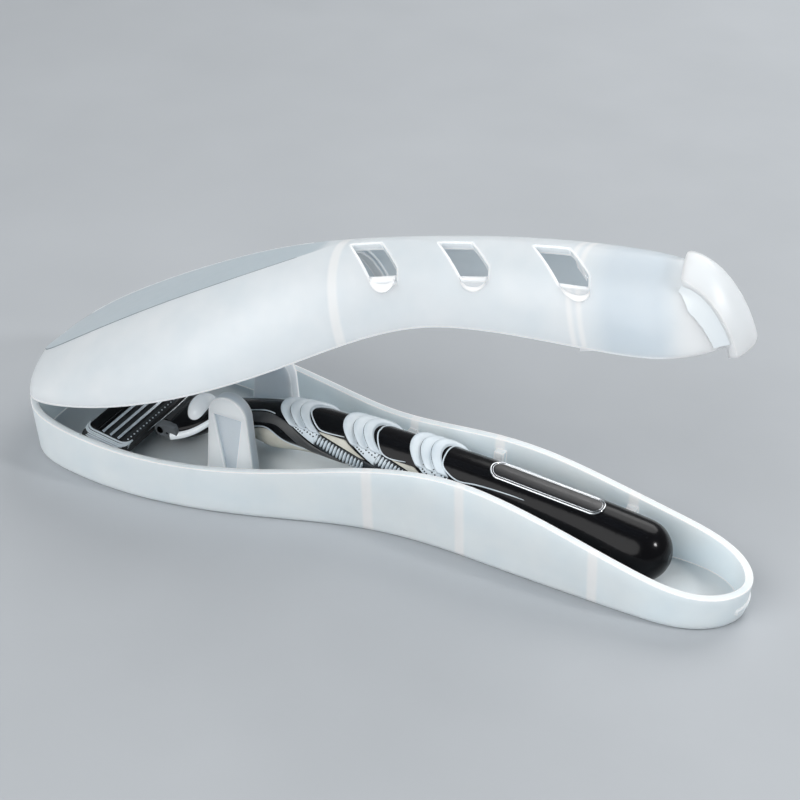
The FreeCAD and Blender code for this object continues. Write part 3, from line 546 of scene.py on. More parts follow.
def lid_plastic():
    """Frosted polypropylene of the lid. Its flat facet, found by its level normal, is painted greyer for the
    dark surroundings it reflects, its nose bluer as painted shade and its thick tip whiter as painted light."""
    def build(name):
        axis, lean = lid_hinge()
        shift = axis[0] * (math.cos(lean) - 1) + axis[2] * math.sin(lean)
        bands = [(rib + shift, half) for rib, half in LID_RIBS]
        material = frosted(name, ("DEE6EB", "E6ECF0"), bands, lean, 0.0011)
        tree = material.node_tree
        source = add(tree, "ShaderNodeTexCoord").outputs
        normal, place = split(tree, source["Normal"]), split(tree, source["Object"])
        along = dot(tree, source["Object"], (math.cos(lean), 0, math.sin(lean)))

        def fade(low, high, top=1.0):
            return ramp(tree, along, shift + low, shift + high, top)
        # Painted reflection: the facet is painted greyer, for the dark surroundings it reflects
        sideways = reckon(tree, "ABSOLUTE", normal["Y"])
        flat = times(tree, ramp(tree, sideways, 0.06, 0.02), ramp(tree, normal["Z"], 0.55, 0.65))
        shade(material, times(tree, flat, ramp(tree, place["X"], *FACET_END, 0.85)), "BFCCD3")
        # Painted shade: the nose is tinted bluer
        shade(material, times(tree, fade(*NOSE_START), fade(*NOSE_END, 0.5)), "BFCCD7")
        # Painted light: the thick tip is painted whiter
        shade(material, fade(*TIP_START, 0.7), "F3F6F8")
        # Painted light: the glow of the edges is made stronger away from the tip and left out on it
        strength = tree.nodes["Principled BSDF"].inputs["Emission Strength"]
        tree.links.new(times(tree, strength.links[0].from_socket, fade(*GLOW_END, 2.2)), strength)
        return material
    return made("frosted_polypropylene_lid", build)


def bright_edge():
    """The same plastic where it is thick and catches the light, given painted light: nearly white and glowing
    a little.
    """
    return kept("frosted_polypropylene_painted_light", ("F4F9FC", "FFFFFF"), FROST, COARSE, 0.02,
                Subsurface_Scale=0.0012, Emission_Color=linear("F2F7FB"), Emission_Strength=0.12, **MILKY)


def pale_fillet():
    """The same plastic in the thick corner beside the tab, where no light is lost through the wall."""
    return kept("frosted_polypropylene_fillet", ("DEE5E9", "E6ECEF"), FROST, COARSE, 0.02, IOR=FROST_INDEX)


def crease_shade():
    """The fine shadow line in the crease of the facet."""
    return kept("painted_crease_shadow", ("66747E", "74828C"), (0.45, 0.55), COARSE, 0.02,
                IOR=FROST_INDEX)


def gloss_black():
    """Polished black plastic: dark with sharp reflections."""
    return kept("gloss_black_abs", ("08080A", "0C0C0F"), (0.16, 0.2), COARSE, 0.005, IOR=1.5,
                Specular_IOR_Level=0.14)


def satin_black():
    """Spark-eroded black plastic of the cartridge: soft grey sheen."""
    return kept("satin_black_abs", ("0D0D0F", "141417"), (0.32, 0.42), FINE, 0.1, IOR=1.54)


def pale_rubber():
    """Light blue-grey grip rubber with a silky sheen."""
    return kept("pale_grip_rubber", ("C6D1D9", "D8E1E6"), (0.34, 0.44), FINE, 0.06, IOR=1.5)


def painted_shade_rubber():
    """Painted shade: the same rubber, darker and matte, where it lies in shade between fins and dots."""
    return kept("grip_rubber_painted_shade", ("20262B", "2C3339"), (0.55, 0.65), FINE, 0.1, IOR=1.5)


def charcoal_rubber():
    """Charcoal side band with a soft sheen."""
    return kept("charcoal_rubber", ("3C3D3E", "4A4A4A"), (0.42, 0.52), FINE, 0.08, IOR=1.5)


def beige_rubber():
    """Warm grey rubber of the underside pad."""
    return kept("warm_grey_rubber", ("BDBBAF", "CFCDC2"), (0.55, 0.65), FINE, 0.12, IOR=1.5)


def chrome():
    """Plated trim, bright and a little brushed."""
    return kept("plated_chrome", ("C4C8CB", "D0D3D6"), (0.16, 0.22), COARSE, 0.0, Metallic=1.0)


def steel():
    """Ground blade steel: bright with fine lines along the edge."""
    return kept("ground_blade_steel", ("CDD1D5", "DDE0E3"), (0.16, 0.28), FINE, 0.08, (8, 1, 8), Metallic=1.0)


def button_plastic():
    """Pale glossy plastic of the button, a little milky, with a faint painted glow that lifts it in the lid's
    shade.
    """
    return kept("pale_gloss_acetal_painted_glow", ("E6ECF0", "F2F5F7"), (0.12, 0.2), COARSE, 0.02, IOR=1.48,
                Emission_Color=linear("E6EEF4"), Emission_Strength=0.2, Subsurface_Weight=0.4,
                Subsurface_Radius=(1.0, 1.0, 1.0), Subsurface_Scale=0.001)


def grey_plastic():
    """Mid grey moulded plastic of the yoke."""
    return kept("grey_abs", ("5E6265", "6C7073"), (0.28, 0.36), FINE, 0.05, IOR=1.52)


def pale_paper():
    """Matte paper of the studio floor."""
    return kept("pale_paper", ("ACB0B4", "B0B4B8"), (0.7, 0.8), 0.002, 0.02, IOR=1.4)


def dress_node(node, material):
    """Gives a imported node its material."""
    slots = frame["nodes"][node].data.materials
    slots.clear()
    slots.append(material)


class RAZORCASE_OT_case(bpy.types.Operator):
    """Finish the tray and the lid and build the bent web between them"""
    bl_idname = "razorcase.case"
    bl_label = "Case"

    def execute(self, context):
        dress_node("base_tray", tray_plastic())
        dress_node("lid_shell", lid_plastic())
        self.hinge_web()
        self.sills()
        self.creases()
        self.tab_fillets()
        return {"FINISHED"}

    def sills(self):
        """Sills under the vents, painted bright with a faint glow as painted light: each a sloping face from
        a straight line inside the vent to half an ellipse on the lid's skin."""
        rise, hollow, depth = 0.00022, 0.0008, 0.0012
        share, fall = np.meshgrid(np.linspace(0, 1, 25), np.linspace(0, 1, 9), indexing="ij")
        arc = (np.sqrt(np.clip(1 - (2 * share - 1) ** 2, 0, 1)) * fall)[..., None]
        plates = []
        for left, right, low in opened(SILLS):
            out = np.cross(low - left, right - left)
            out /= np.linalg.norm(out)
            face = left + (right - left) * share[..., None] + (low - (left + right) / 2) * arc
            lift = (rise - hollow * (1 - fall) ** 2)[..., None] * out
            plates.append(shell(face + lift, face - depth * out))
        make_piece("vent_sills", joined(plates), [bright_edge()], "lid", crease=50)

    def facet_border(self):
        """The far border of the lid's facet, from the hinge end to its point: the corners of the level faces,
        which a flat face has along its border only."""
        mesh = frame["nodes"]["lid_shell"].data

        def read(items, key):
            values = np.empty(3 * len(items))
            items.foreach_get(key, values)
            return values.reshape(-1, 3)
        normals, middles = read(mesh.polygons, "normal"), read(mesh.polygons, "center")
        places = read(mesh.vertices, "co")
        level = (np.abs(normals[:, 1]) < 0.02) & (normals[:, 2] > 0.6) & (middles[:, 0] < FACET_END[0])
        used = np.unique(np.concatenate([mesh.polygons[i].vertices for i in np.flatnonzero(level)]))
        border = places[used][places[used, 1] > 0.0005]
        return border[np.argsort(border[:, 0])]

    def creases(self):
        """Fine lines along both borders of the facet, which fade towards its point: a painted shadow on the
        near side and a painted highlight on the far one."""
        border = self.facet_border()
        count, radius, start, end = 110, 0.00011, 0.002, 0.007
        x = np.linspace(border[0, 0] + start, border[-1, 0] - end, count)
        path = np.stack([x, *(np.interp(x, border[:, 0], border[:, i]) for i in (1, 2))], -1)
        thin = radius * np.linspace(1.0, 0.45, count)
        # Painted light: a dark shadow line on the near border, a bright line on the far one
        for side, name, material in ((-1, "near", crease_shade()), (1, "far", bright_edge())):
            line = tube(path * (1, side, 1), thin, around=6)
            make_piece("facet_crease_painted_line_" + name, line, [material], "lid")

    def tab_fillets(self):
        """Soft fillets beside the pull tab: from the tab's edge to the lid's skin a parabola bent towards the
        corner between them. All three are met by lines that fan in to a point inside the lid's tip."""
        s = sizes()
        reach, step = 0.04, 0.0001
        fan = np.radians(np.linspace(50, -2, 41))
        ways = np.stack([np.cos(fan), 0 * fan, np.sin(fan)], -1)

        def line(across):
            middle = np.array([0.072, -across, 0.0102])
            return on_lid(middle + reach * ways, middle + 0 * ways)[:, None]
        edge, corner = line(s.tab_half - step), line(s.tab_half + step)
        spread = smoothstep(0, 0.35, np.linspace(0, 1, len(fan)))[:, None, None]
        skin = corner + (line(s.tab_half + s.fillet_width) - corner) * spread
        share = np.linspace(0, 1, 13)[None, :, None]
        outer = (1 - share) ** 2 * edge + 2 * share * (1 - share) * corner + share ** 2 * skin
        inner = outer + 0.6 * (corner - (edge + skin) / 2)
        plates = [shell(outer * (1, side, 1), inner * (1, side, 1)) for side in (1, -1)]
        make_piece("tab_fillets", joined(plates), [pale_fillet()], "lid", crease=50)

    def hinge_web(self):
        """A strip bent round the hinge axis: from straight below the axis, outwards, up to the open lid."""
        axis, lean = lid_hinge()
        low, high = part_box("hinge_web")
        outer = axis[0] - low.x
        thick = 0.0005
        sweep = math.pi - lean
        turn, y = np.meshgrid(np.linspace(0, sweep, 25), np.linspace(low.y, high.y, 31), indexing="ij")

        def skin(radius):
            return np.stack([axis[0] - radius * np.sin(turn), y, axis[2] - radius * np.cos(turn)], -1)
        surface = shell(skin(outer), skin(outer - thick))
        web = make_piece("bent_hinge_web", surface, [tray_plastic()], None, ("hinge_web",),
                         crease=50)
        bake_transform(web)


class RAZORCASE_OT_handle(bpy.types.Operator):
    """Finish the handle and its plaque, and add the bright frame round the plaque"""
    bl_idname = "razorcase.handle"
    bl_label = "Handle"

    def execute(self, context):
        dress_node("handle_core", gloss_black())
        low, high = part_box("handle_plaque")
        half_width = sizes().plaque_half
        half_run = (high.x - low.x) / 2 - half_width
        middle = (low.x + high.x) / 2
        turn = np.linspace(0, 2 * np.pi, 160, endpoint=False)

        def outline(share, lift):
            """A capsule on the handle's skin, leant to the near side and drawn in to a share of its width."""
            x = middle + np.sign(np.cos(turn)) * half_run + half_width * share * np.cos(turn)
            across = np.arcsin(np.clip(half_width * share * np.sin(turn) / handle_profile(x)[2], -1, 1))
            return on_handle(x, across + sizes().plaque_lean, lift)
        rings = np.stack([outline(share, lift) for share, lift in (
            (1.12, -0.0004), (1.1, 0.0001), (1.0, 0.0003), (0.6, 0.0003), (0.02, 0.0003))])
        make_piece("bare_plaque", loft(rings), [satin_black()], "tray", ("handle_plaque",))
        for name, share, radius in (("plaque_frame", 1.04, 0.0002), ("plaque_inner_line", 0.84, 0.00008)):
            bead = tube(outline(share, 0.00028), radius, closed=True)
            make_piece(name, bead, [chrome()], "tray")
        return {"FINISHED"}


class RAZORCASE_OT_grips(bpy.types.Operator):
    """Build the fins, dotted bands, window lips, side bands and underside pad of the grip"""
    bl_idname = "razorcase.grips"
    bl_label = "Grips"

    def execute(self, context):
        for start, name in zip(GROUP_STARTS, GROUP_NAMES):
            self.fins(start, name)
        for side, name in ((-1, "near"), (1, "far")):
            self.dotted_bands(side, name)
            self.lenses(side, name)
            self.side_band(side, name)
        self.window_lips()
        self.pad()
        return {"FINISHED"}

    def fins(self, start, name):
        """Three overlapping scales over the handle's top: along the handle each rises fast and falls slowly,
        a sine of the place to a power below one; they fade down the sides and sink into the handle at the
        border."""
        s = sizes()
        edge, fade, last, groove = 0.0003, 56, 66, 0.085
        run, turn = np.meshgrid(np.linspace(-edge, s.group_length + edge, 88),
                                np.radians(np.linspace(-last, last, 111)), indexing="ij")
        phase = np.clip(run / s.group_length, 0, 0.99999) * 3 % 1
        scale = np.sin(np.pi * phase ** 0.6)
        inside = within(run, -edge, s.group_length + edge, 2 * edge)
        inside *= 1 - smoothstep(math.radians(fade), math.radians(last), np.abs(turn))
        rise = s.sheath_rise + (s.fin_rise - s.sheath_rise) * scale
        surface = skin_plate(swept(start, turn) + run, turn, inside, rise)
        # Painted shade: the grooves between the fins are darkened
        dark = (phase < groove) & (run > edge) & (run < s.group_length - edge)
        index = np.zeros(len(surface[1]), dtype=np.int32)
        index[:dark[:-1, :-1].size] = dark[:-1, :-1].ravel()
        make_piece("fins_" + name, surface, [pale_rubber(), painted_shade_rubber()], "tray",
                   ("grip_fins_" + name,), index)

    def dotted_bands(self, side, name):
        """Bands that run down and back from the fins: a plate on the handle's skin between two swept edges,
        with rows of small nubs along it."""
        s = sizes()
        plates, nubs, past = [], [], []
        for start, last in zip(GROUP_STARTS, BAND_ENDS):
            share, turn = np.meshgrid(np.linspace(0, 1, 26), np.radians(np.linspace(BAND_START, last, 61)),
                                      indexing="ij")
            x = swept(start, turn) + share * tail_width(turn)
            inside = within(share, 0, 1, 0.08)
            inside *= within(turn, math.radians(BAND_START), math.radians(last), math.radians(4))
            plates.append(skin_plate(x, side * turn, inside, s.sheath_rise))
            nubs.append(self.nubs(start, last, side))
            past.append(self.past_dots(plates[-1], start, side))
        # Painted shade: past the dots the band is darkened between its bars, and the dots are painted dark
        make_piece("dotted_band_" + name, joined(plates), [pale_rubber(), painted_shade_rubber()],
                   "tray", ("side_grip_" + name,), np.concatenate(past))
        dots, bars = (joined(list(some)) for some in zip(*nubs))
        make_piece("grip_dots_" + name, dots, [painted_shade_rubber()], "tray")
        make_piece("grip_bars_" + name, bars, [pale_rubber()], "tray")

    def nubs(self, start, last, side):
        """Nubs set along the band at an even pitch: rows of dots darkened with painted shade where it starts,
        then pale bars across it. Dots are half as wide as bars."""
        s = sizes()
        rows = np.array([0.2, 0.5, 0.8])
        fine = np.radians(np.linspace(50, last - 4, 400))
        middle = on_handle(swept(start, fine) + 0.5 * tail_width(fine), side * fine, s.sheath_rise)
        run = np.concatenate([[0], np.cumsum(np.linalg.norm(np.diff(middle, axis=0), axis=1))])
        turns = np.interp(np.arange(s.dot_pitch / 2, run[-1], s.dot_pitch), run, fine)
        early = turns < s.dots_end
        turn = np.concatenate([np.tile(turns[early], len(rows)), turns[~early]])
        share = np.concatenate([np.repeat(rows, early.sum()), np.full((~early).sum(), 0.5)])
        dotted = np.arange(len(turn)) < len(rows) * early.sum()

        def at(more, shift):
            bent = turn + more
            return on_handle(swept(start, bent) + (share + shift) * tail_width(bent), side * bent,
                             s.sheath_rise + 0 * turn)
        centre = at(0, 0)
        along = at(0.01, 0) - centre
        along /= np.linalg.norm(along, axis=1, keepdims=True)
        tall, wide = handle_profile(centre[:, 0])[1:]
        out = np.stack([0 * turn, side * np.sin(turn) / wide, np.cos(turn) / tall], -1)
        out /= np.linalg.norm(out, axis=1, keepdims=True)
        across = np.cross(along, out)
        spread = np.abs(((at(0, 0.4) - at(0, -0.4)) * across).sum(1)) / 2
        half = np.where(dotted, 0.5, 1.0) * s.dot_radius
        reach = np.where(dotted, half, spread)
        parts = (centre, across * reach[:, None], along * half[:, None], out * s.dot_radius * 0.8)
        return tuple(domes(*(part[some] for part in parts)) for some in (dotted, ~dotted))

    def past_dots(self, plate, start, side):
        """One for each face of a plate that lies past the last dots, along the band's middle line."""
        points, faces = plate
        turn = sizes().dots_end + np.array([0, 0.01])
        here, ahead = on_handle(swept(start, turn) + 0.5 * tail_width(turn), side * turn, 0 * turn)
        return (points[np.array(faces)[:, 0]] - here) @ (ahead - here) > 0

    def lenses(self, side, name):
        """Warm grey fillings under the windows: plates between a dotted band and the next grip edge."""
        s = sizes()
        last, front_gap, rear_gap, least = 90, 0.0004, 0.0005, 0.0001
        plates = []
        for start, following, first in zip(GROUP_STARTS, GROUP_STARTS[1:], (52, 62)):
            share, turn = np.meshgrid(np.linspace(0, 1, 21), np.radians(np.linspace(first, last, 31)),
                                      indexing="ij")
            low = swept(start, turn) + np.maximum(tail_width(turn), s.group_length * 0.9) + front_gap
            high = np.maximum(swept(following, turn) - rear_gap, low + least)
            inside = within(share, 0, 1, 0.12)
            inside *= smoothstep(math.radians(first), math.radians(first + 4), turn)
            inside *= 1 - smoothstep(math.radians(last - 6), math.radians(last), turn)
            plates.append(skin_plate(low + share * (high - low), side * turn, inside, s.sheath_rise * 0.7))
        make_piece("window_fillings_" + name, joined(plates), [beige_rubber()], "tray")

    def side_band(self, side, name):
        """A charcoal band from the neck down along the side: a plate between two cubic borders, with a pale
        lip on its front upper edge, partly real and partly a painted highlight."""
        s = sizes()
        fade, line_end, line_turn = 0.002, -0.0262, 0.03
        place = np.linspace(SIDE_BAND[0, 0], SIDE_BAND[-1, 0], 61)
        upper, lower = (np.radians(spline(place, SIDE_BAND[:, 0], SIDE_BAND[:, i])) for i in (1, 2))
        share, x = np.meshgrid(np.linspace(0, 1, 25), place, indexing="ij")
        turn = upper[None] + share * (lower - upper)[None]
        inside = within(share, 0, 1, 0.1) * (1 - smoothstep(place[-1] - fade, place[-1], x))
        surface = skin_plate(x, side * turn, inside, s.sheath_rise * 0.8)
        make_piece("side_band_" + name, surface, [charcoal_rubber()], "tray")
        # The pale line: a real lip in part, a painted highlight in part
        front = place < line_end
        run = place[front]
        path = on_handle(run, side * (upper[front] - line_turn), s.sheath_rise * 0.6 + 0 * run)
        make_piece("side_line_" + name, tube(path, s.bead * 0.8), [pale_rubber()], "tray")

    def window_lips(self):
        """Thin lips round the front ends of the black windows: natural cubics through their stations, from
        one side of the handle over its top to the other, thinner towards both ends."""
        s = sizes()
        lift = 0.0001
        loops = []
        for stations in WINDOW_LIPS:
            step = np.arange(len(stations))
            fine = np.linspace(0, step[-1], 60)
            x = spline(fine, step, stations[:, 0])
            turn = np.radians(spline(fine, step, stations[:, 1]))
            x, turn = np.concatenate([x[:0:-1], x]), np.concatenate([-turn[:0:-1], turn])
            thin = s.bead * (1 - 0.6 * np.abs(np.linspace(-1, 1, len(x))) ** 6)
            loops.append(tube(on_handle(x, turn, lift + 0 * x), thin))
        make_piece("window_lips", joined(loops), [pale_rubber()], "tray")

    def pad(self):
        """The pad under the front of the handle: a plate wrapped round the underside between two mirrored
        borders, which rises smoothly from the skin, with a pale bead along each border."""
        s = sizes()
        fade, bead_lift, bead_turn = 0.002, 0.0001, 0.02
        place = np.linspace(PAD[0, 0], PAD[-1, 0], 81)
        border = np.radians(spline(place, PAD[:, 0], PAD[:, 1]))
        rise = spline(place, PAD[:, 0], PAD[:, 2]) / 1000
        share, x = np.meshgrid(np.linspace(0, 1, 41), place, indexing="ij")
        turn = border + share * (2 * np.pi - 2 * border)
        inside = np.sqrt(within(share, 0, 1, 0.3)) * within(x, place[0], place[-1], fade)
        surface = skin_plate(x, turn, inside, rise)
        make_piece("finger_pad", surface, [beige_rubber()], "tray", ("underside_pad",))
        beads = [tube(on_handle(place, side * (border + bead_turn), bead_lift + 0 * place), s.bead)
                 for side in (-1, 1)]
        make_piece("pad_beads", joined(beads), [pale_rubber()], "tray")


class RAZORCASE_OT_neck(bpy.types.Operator):
    """Build the neck with its yoke arms and bright trim, and the release button"""
    bl_idname = "razorcase.neck"
    bl_label = "Neck and button"

    def execute(self, context):
        around = 64
        x = np.linspace(NECK[0, 0], NECK[-1, 0], 49)
        order = np.argsort(NECK[:, 0])
        height, tall, wide = (spline(x, NECK[order, 0], NECK[order, i]) for i in (1, 2, 3))
        turn = np.linspace(0, 2 * np.pi, around, endpoint=False)
        rings = np.stack([np.repeat(x[:, None], around, 1), wide[:, None] * np.sin(turn),
                          height[:, None] + tall[:, None] * np.cos(turn)], -1)
        make_piece("neck_shell", loft(rings), [gloss_black()], "tray", ("neck_housing",))
        self.yoke_arms()
        self.trim(x, height, tall, wide)
        self.button()
        return {"FINISHED"}

    def yoke_arms(self):
        """Two round-ended arms from the neck to the cartridge's pivot pin."""
        pivot = np.array(joint("cartridge_pivot")["pos_m"])
        around, reach, radius = 40, 0.0032, 0.0017
        across = np.array([0.0060, 0.0063, 0.0081, 0.0084])[:, None]
        swell = np.array([0.88, 1.0, 1.0, 0.88])[:, None]
        turn = np.linspace(0, 2 * np.pi, around, endpoint=False)
        x = pivot[0] + np.where(np.cos(turn) > 0, reach, 0) + radius * swell * np.cos(turn)
        z = pivot[2] + radius * swell * np.sin(turn)
        arms = [loft(np.stack([x, np.repeat(side * across, around, 1), z], -1)) for side in (-1, 1)]
        make_piece("yoke_arms", joined(arms), [grey_plastic()], "tray", crease=50)

    def trim(self, x, height, tall, wide):
        """Pale beads along both sides of the neck, which rise from front to back and get thinner. They stand
        for a plated collar, whose bright reflection is painted in the button's glowing plastic.
        """
        count, lift, radius = 40, 0.0001, 0.0009
        run = np.linspace(-0.0535, -0.0432, count)
        middle, up, out = (np.interp(run, x[::-1], v[::-1]) for v in (height, tall, wide))
        for side, name in ((-1, "near"), (1, "far")):
            bent = np.radians(side * np.linspace(100, 84, count))
            path = np.stack([run, (out + lift) * np.sin(bent), middle + (up + lift) * np.cos(bent)], -1)
            bead = tube(path, radius * np.linspace(1.05, 0.75, count), around=16)
            make_piece("neck_trim_" + name, bead, [button_plastic()], "tray")

    def button(self):
        """A pale oval dome: the upper part of an ellipsoid, closed below inside the neck."""
        s = sizes()
        around, forward, seat = 56, 0.0006, 0.0105
        low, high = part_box("release_button")
        middle = np.array([(low.x + high.x) / 2 - forward, 0, seat])
        rise = np.radians(np.linspace(-25, 89, 28))
        turn = np.linspace(0, 2 * np.pi, around, endpoint=False)
        flat = np.stack([np.outer(np.cos(rise), np.cos(turn)) * s.button_length,
                         np.outer(np.cos(rise), np.sin(turn)) * s.button_width,
                         np.outer(np.sin(rise), np.ones(around)) * s.button_height], -1)
        make_piece("button_dome", loft(middle + flat), [button_plastic()], "button",
                   ("release_button",))


class RAZORCASE_OT_cartridge(bpy.types.Operator):
    """Build the cartridge: body, strip, blades, guard nubs and the ridged ends"""
    bl_idname = "razorcase.cartridge"
    bl_label = "Cartridge"

    def execute(self, context):
        dress_node("cartridge_hub", satin_black())
        self.body()
        self.blades()
        self.strips()
        self.ends()
        return {"FINISHED"}

    def place(self, along, across, up):
        """Points of the cartridge's own frame, whose origin is on the pivot, leant over by its tilt."""
        pivot = np.array(joint("cartridge_pivot")["pos_m"])
        lean = sizes().cartridge_tilt
        return np.stack([pivot[0] + along * math.cos(lean) + up * math.sin(lean), across + 0 * along,
                         pivot[2] - along * math.sin(lean) + up * math.cos(lean)], -1)

    def body(self):
        """A plate with rounded edges and a sunk blade window: one closed profile, set at stations across and
        drawn in towards both ends."""
        far, near, face, back = -0.0146, -0.0021, 0.0006, -0.0024
        window, floor_share = 0.0180, 0.55
        top = np.array([(far, 0.30), (far + 0.0003, 0.8), (far + 0.0008, 1.0), (far + 0.0034, 1.0),
                        (far + 0.0036, floor_share), (near - 0.0027, floor_share), (near - 0.0025, 1.0),
                        (near - 0.0007, 0.9), (near - 0.0002, floor_share)])
        under = np.array([(near, -0.4), (near - 0.0004, -0.95), (near - 0.0012, -1.0), (far + 0.0012, -1.0),
                          (far + 0.0004, -0.9), (far, -0.4)])
        profile = np.concatenate([top, under])
        half, level = (face - back) / 2, (face + back) / 2
        along, up = profile[:, 0], level + profile[:, 1] * half
        flush = np.where(profile[:, 1] == floor_share, face, up)
        outwards = np.array([window, 0.01805, 0.0196, 0.0203, 0.0205])
        drawn = np.array([1, 1, 0.98, 0.91, 0.80])
        stations = np.concatenate([-outwards[::-1], outwards])[:, None]
        draw = np.concatenate([drawn[::-1], drawn])[:, None]
        middle = (far + near) / 2
        x = middle + (along - middle) * (0.5 + draw / 2)
        z = level + (np.where(np.abs(stations) <= window, up, flush) - level) * draw
        rings = self.place(x, np.repeat(stations, len(along), 1), z)
        make_piece("cartridge_body", loft(rings), [satin_black()], "cartridge",
                   ("cartridge_frame",), crease=35)

    def blades(self):
        """Three thin ground strips across the window, each leaning forward."""
        lean = math.radians(24)
        first, pitch, height = -0.01003, 0.002133, 0.00042
        half, depth, front, rear = 0.0003, 0.0003, 0.00012, 0.00006
        stations = np.array([-0.0178, 0.0, 0.0178])[:, None]
        corners = np.array([(-half, -depth), (half, -depth), (half, rear), (-half, front)])
        up = height - corners[:, 0] * math.sin(lean) + corners[:, 1] * math.cos(lean)
        for number in range(3):
            middle = first + pitch * number
            along = middle + corners[:, 0] * math.cos(lean) + corners[:, 1] * math.sin(lean)
            rings = self.place(along + 0 * stations, stations + 0 * along, up + 0 * stations)
            make_piece("blade_edge_%d" % (number + 1), loft(rings), [steel()], "cartridge",
                       ("blade_%d" % (number + 1),), crease=30)

    def strips(self):
        """The smooth strip on the far side, the rubber guard with its row of nubs, painted pale as painted
        highlights, and a bright bowed line along the guard's edge."""
        guard, seat = -0.0034, 0.0005
        turn = np.linspace(0, 2 * np.pi, 32, endpoint=False)
        stations = np.array([-0.0180, -0.0178, 0.0178, 0.0180])[:, None]
        swell = np.array([0.7, 1, 1, 0.7])[:, None]
        for name, middle, half, rise, slot, material, node in (
                ("lubricating_pad", -0.0128, 0.0014, 0.0004, "lubricant", gloss_black(), "lubricating_strip"),
                ("guard_bar", guard, 0.0009, 0.0003, "guard_rubber", satin_black(), "guard_strip")):
            along = middle + half * swell * np.sign(np.cos(turn)) * np.abs(np.cos(turn)) ** 0.5
            up = seat + rise * swell * np.sign(np.sin(turn)) * np.abs(np.sin(turn)) ** 0.7
            make_piece(name, loft(self.place(along, stations + 0 * along, up)), [material], "cartridge",
                       (node,))
        # Painted highlights: the guard's nubs are pale
        nub_end, nub_pitch, nub_height, nub_half = 0.0169, 0.0013, 0.0008, 0.00022
        across = np.arange(-nub_end, nub_end + nub_half / 2, nub_pitch)
        centres = self.place(np.full_like(across, guard), across, np.full_like(across, nub_height))
        forwards, sideways, upwards = (np.repeat(v[None], len(across), 0) for v in np.eye(3) * nub_half)
        make_piece("guard_nubs", domes(centres, sideways, forwards, upwards), [pale_rubber()],
                   "cartridge")
        line_end, line_front, line_bow, line_drop, line_radius = 0.0185, -0.0021, 0.0012, 0.0004, 0.0002
        across = np.linspace(-line_end, line_end, 60)
        bow = line_front - line_bow * (across / line_end) ** 2
        line = tube(self.place(bow, across, 0 * across - line_drop), line_radius)
        make_piece("guard_line", line, [steel()], "cartridge")

    def ends(self):
        """Fine ridges round both ends: thin beads along U-shaped paths, set round a squarish quarter turn
        from the top to the end. They are pale: painted highlights on the ridges."""
        far, near, corner, radius = -0.0143, -0.0024, 0.0024, 0.00023
        inner, low, round_off, squareness = 0.0184, -0.0015, 0.0023, 0.6
        turn = np.linspace(0, np.pi / 2, 9)
        along = np.concatenate([far + corner * (1 - np.cos(turn)), near - corner * (1 - np.cos(turn[::-1]))])
        bow = corner * np.concatenate([np.sin(turn), np.sin(turn[::-1])])
        for side, name in ((-1, "near"), (1, "far")):
            ridges = []
            for bend in np.radians(np.linspace(5, 100, 7)):
                out = inner + round_off * math.sin(bend) ** squareness
                up = low + round_off * math.copysign(abs(math.cos(bend)) ** squareness, math.cos(bend))
                path = self.place(along, side * (out - corner + bow), 0 * along + up)
                ridges.append(tube(path, radius, around=8))
            make_piece("end_ridges_" + name, joined(ridges), [pale_rubber()], "cartridge",
                       ("end_clip_" + name,))


class RAZORCASE_OT_inside(bpy.types.Operator):
    """Finish the hidden works of the neck"""
    bl_idname = "razorcase.inside"
    bl_label = "Works"

    def execute(self, context):
        dress_node("button_spring", steel())
        for node in ("ejector_slide", "plunger"):
            dress_node(node, satin_black())
        self.coil()
        return {"FINISHED"}

    def coil(self):
        """The plunger's spring: a round wire wound on a circle that moves along the neck."""
        low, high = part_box("plunger_spring")
        middle = (low + high) / 2
        wire, turns = 0.00013, 6
        share = np.linspace(0, 1, 121)[:, None]
        turn = 2 * np.pi * turns * share
        around = np.linspace(0, 2 * np.pi, 8, endpoint=False)
        x = low.x + wire + (high.x - low.x - 2 * wire) * share + wire * np.sin(around)
        out = (high.y - low.y) / 2 - wire + wire * np.cos(around)
        rings = np.stack([x, middle.y + out * np.sin(turn), middle.z + out * np.cos(turn)], -1)
        piece = make_piece("plunger_coil", loft(rings), [steel()], "tray",
                           ("plunger_spring",))
        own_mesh(piece)


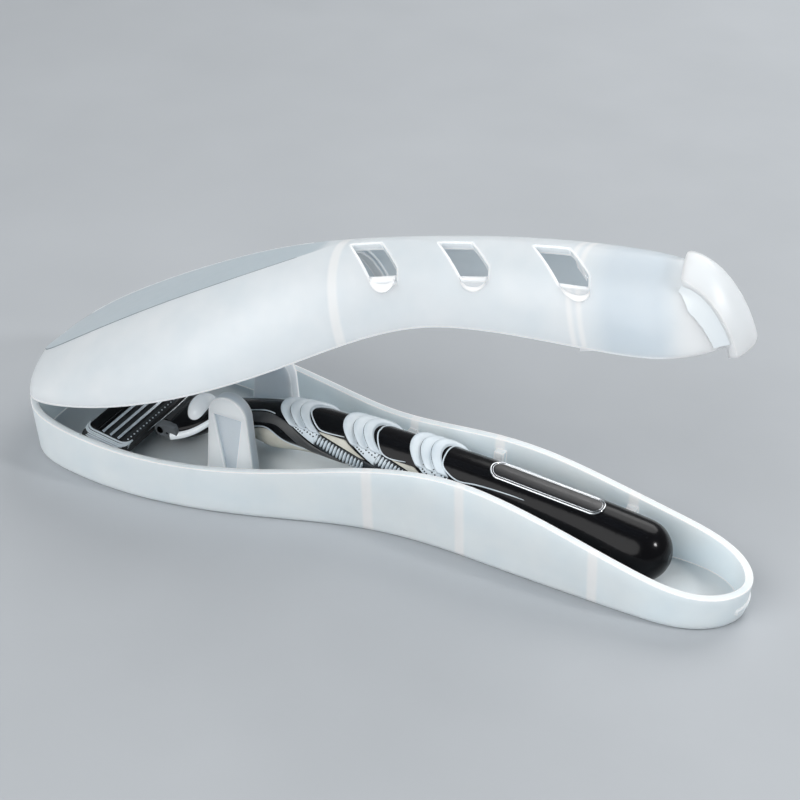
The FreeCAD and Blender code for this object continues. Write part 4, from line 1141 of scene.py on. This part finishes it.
class RAZORCASE_OT_stage(bpy.types.Operator):
    """Set the floor, the lamps and the camera"""
    bl_idname = "razorcase.stage"
    bl_label = "Stage"

    def execute(self, context):
        stage = context.scene.razor_case_stage
        self.floor()
        self.lamp("key_softbox", (-0.20, -0.75, 0.58), 1.0, 8.6)
        self.lamp("rim_softbox", (0.10, 0.62, 0.60), 0.7, 4.4)
        self.lamp("spot_lamp", (0.636, 0.041, 0.42), 0.09, 1.8)
        world = bpy.data.worlds.new("studio")
        world.use_nodes = True
        sky = world.node_tree.nodes["Background"].inputs
        sky["Color"].default_value = linear("ECF0F4")
        sky["Strength"].default_value = stage.ambient
        context.scene.world = world
        context.scene.view_settings.view_transform = "Standard"
        data = bpy.data.cameras.new("photo_camera")
        data.sensor_width = 36.0
        data.lens = stage.focal
        camera = bpy.data.objects.new("photo_camera", data)
        context.scene.collection.objects.link(camera)
        flat = math.cos(stage.elevation)
        back = Vector((math.sin(stage.azimuth) * flat, -math.cos(stage.azimuth) * flat,
                       math.sin(stage.elevation)))
        camera.matrix_world = self.facing(Vector(stage.target) + back * stage.distance, back)
        context.scene.camera = camera
        return {"FINISHED"}

    def facing(self, at, back):
        """Placement at a point with the local Z axis along back and the local X axis level."""
        return Matrix.Translation(at) @ back.to_track_quat("Z", "Y").to_matrix().to_4x4()

    def floor(self):
        """A wide level sheet."""
        reach = 3.0
        mesh = bpy.data.meshes.new("floor")
        mesh.from_pydata([(-reach, -reach, 0), (reach, -reach, 0), (reach, reach, 0), (-reach, reach, 0)], [],
                         [(0, 1, 2, 3)])
        mesh.materials.append(pale_paper())
        floor = bpy.data.objects.new("floor", mesh)
        bpy.context.scene.collection.objects.link(floor)

    def lamp(self, name, at, size, power):
        """A round softbox that faces the case."""
        data = bpy.data.lights.new(name, "AREA")
        data.shape = "DISK"
        data.size = size
        data.energy = power
        lamp = bpy.data.objects.new(name, data)
        bpy.context.scene.collection.objects.link(lamp)
        lamp.matrix_world = self.facing(Vector(at), (Vector(at) - Vector((0, 0, 0.03))).normalized())


class RAZORCASE_PT_panel(bpy.types.Panel):
    """Sizes and steps of the razor case"""
    bl_label = "Razor case"
    bl_idname = "RAZORCASE_PT_panel"
    bl_space_type = "VIEW_3D"
    bl_region_type = "UI"
    bl_category = "Razor case"

    def draw(self, context):
        column = self.layout.column()
        for group in (context.scene.razor_case_sizes, context.scene.razor_case_stage):
            for key in group.__annotations__:
                column.prop(group, key)
        for step in STEPS:
            column.operator(step.bl_idname)


STEPS = (RAZORCASE_OT_case, RAZORCASE_OT_handle, RAZORCASE_OT_grips, RAZORCASE_OT_neck,
         RAZORCASE_OT_cartridge, RAZORCASE_OT_inside, RAZORCASE_OT_stage)
CLASSES = (RazorCaseSizes, RazorCaseStage, *STEPS, RAZORCASE_PT_panel)


def register():
    for cls in CLASSES:
        bpy.utils.register_class(cls)
    bpy.types.Scene.razor_case_sizes = PointerProperty(type=RazorCaseSizes)
    bpy.types.Scene.razor_case_stage = PointerProperty(type=RazorCaseStage)


def unregister():
    del bpy.types.Scene.razor_case_stage
    del bpy.types.Scene.razor_case_sizes
    for cls in reversed(CLASSES):
        bpy.utils.unregister_class(cls)


def main():
    register()
    bpy.ops.razorcase.case()
    bpy.ops.razorcase.handle()
    bpy.ops.razorcase.grips()
    bpy.ops.razorcase.neck()
    bpy.ops.razorcase.cartridge()
    bpy.ops.razorcase.inside()
    bpy.ops.razorcase.stage()


if __name__ == "__main__":
    main()
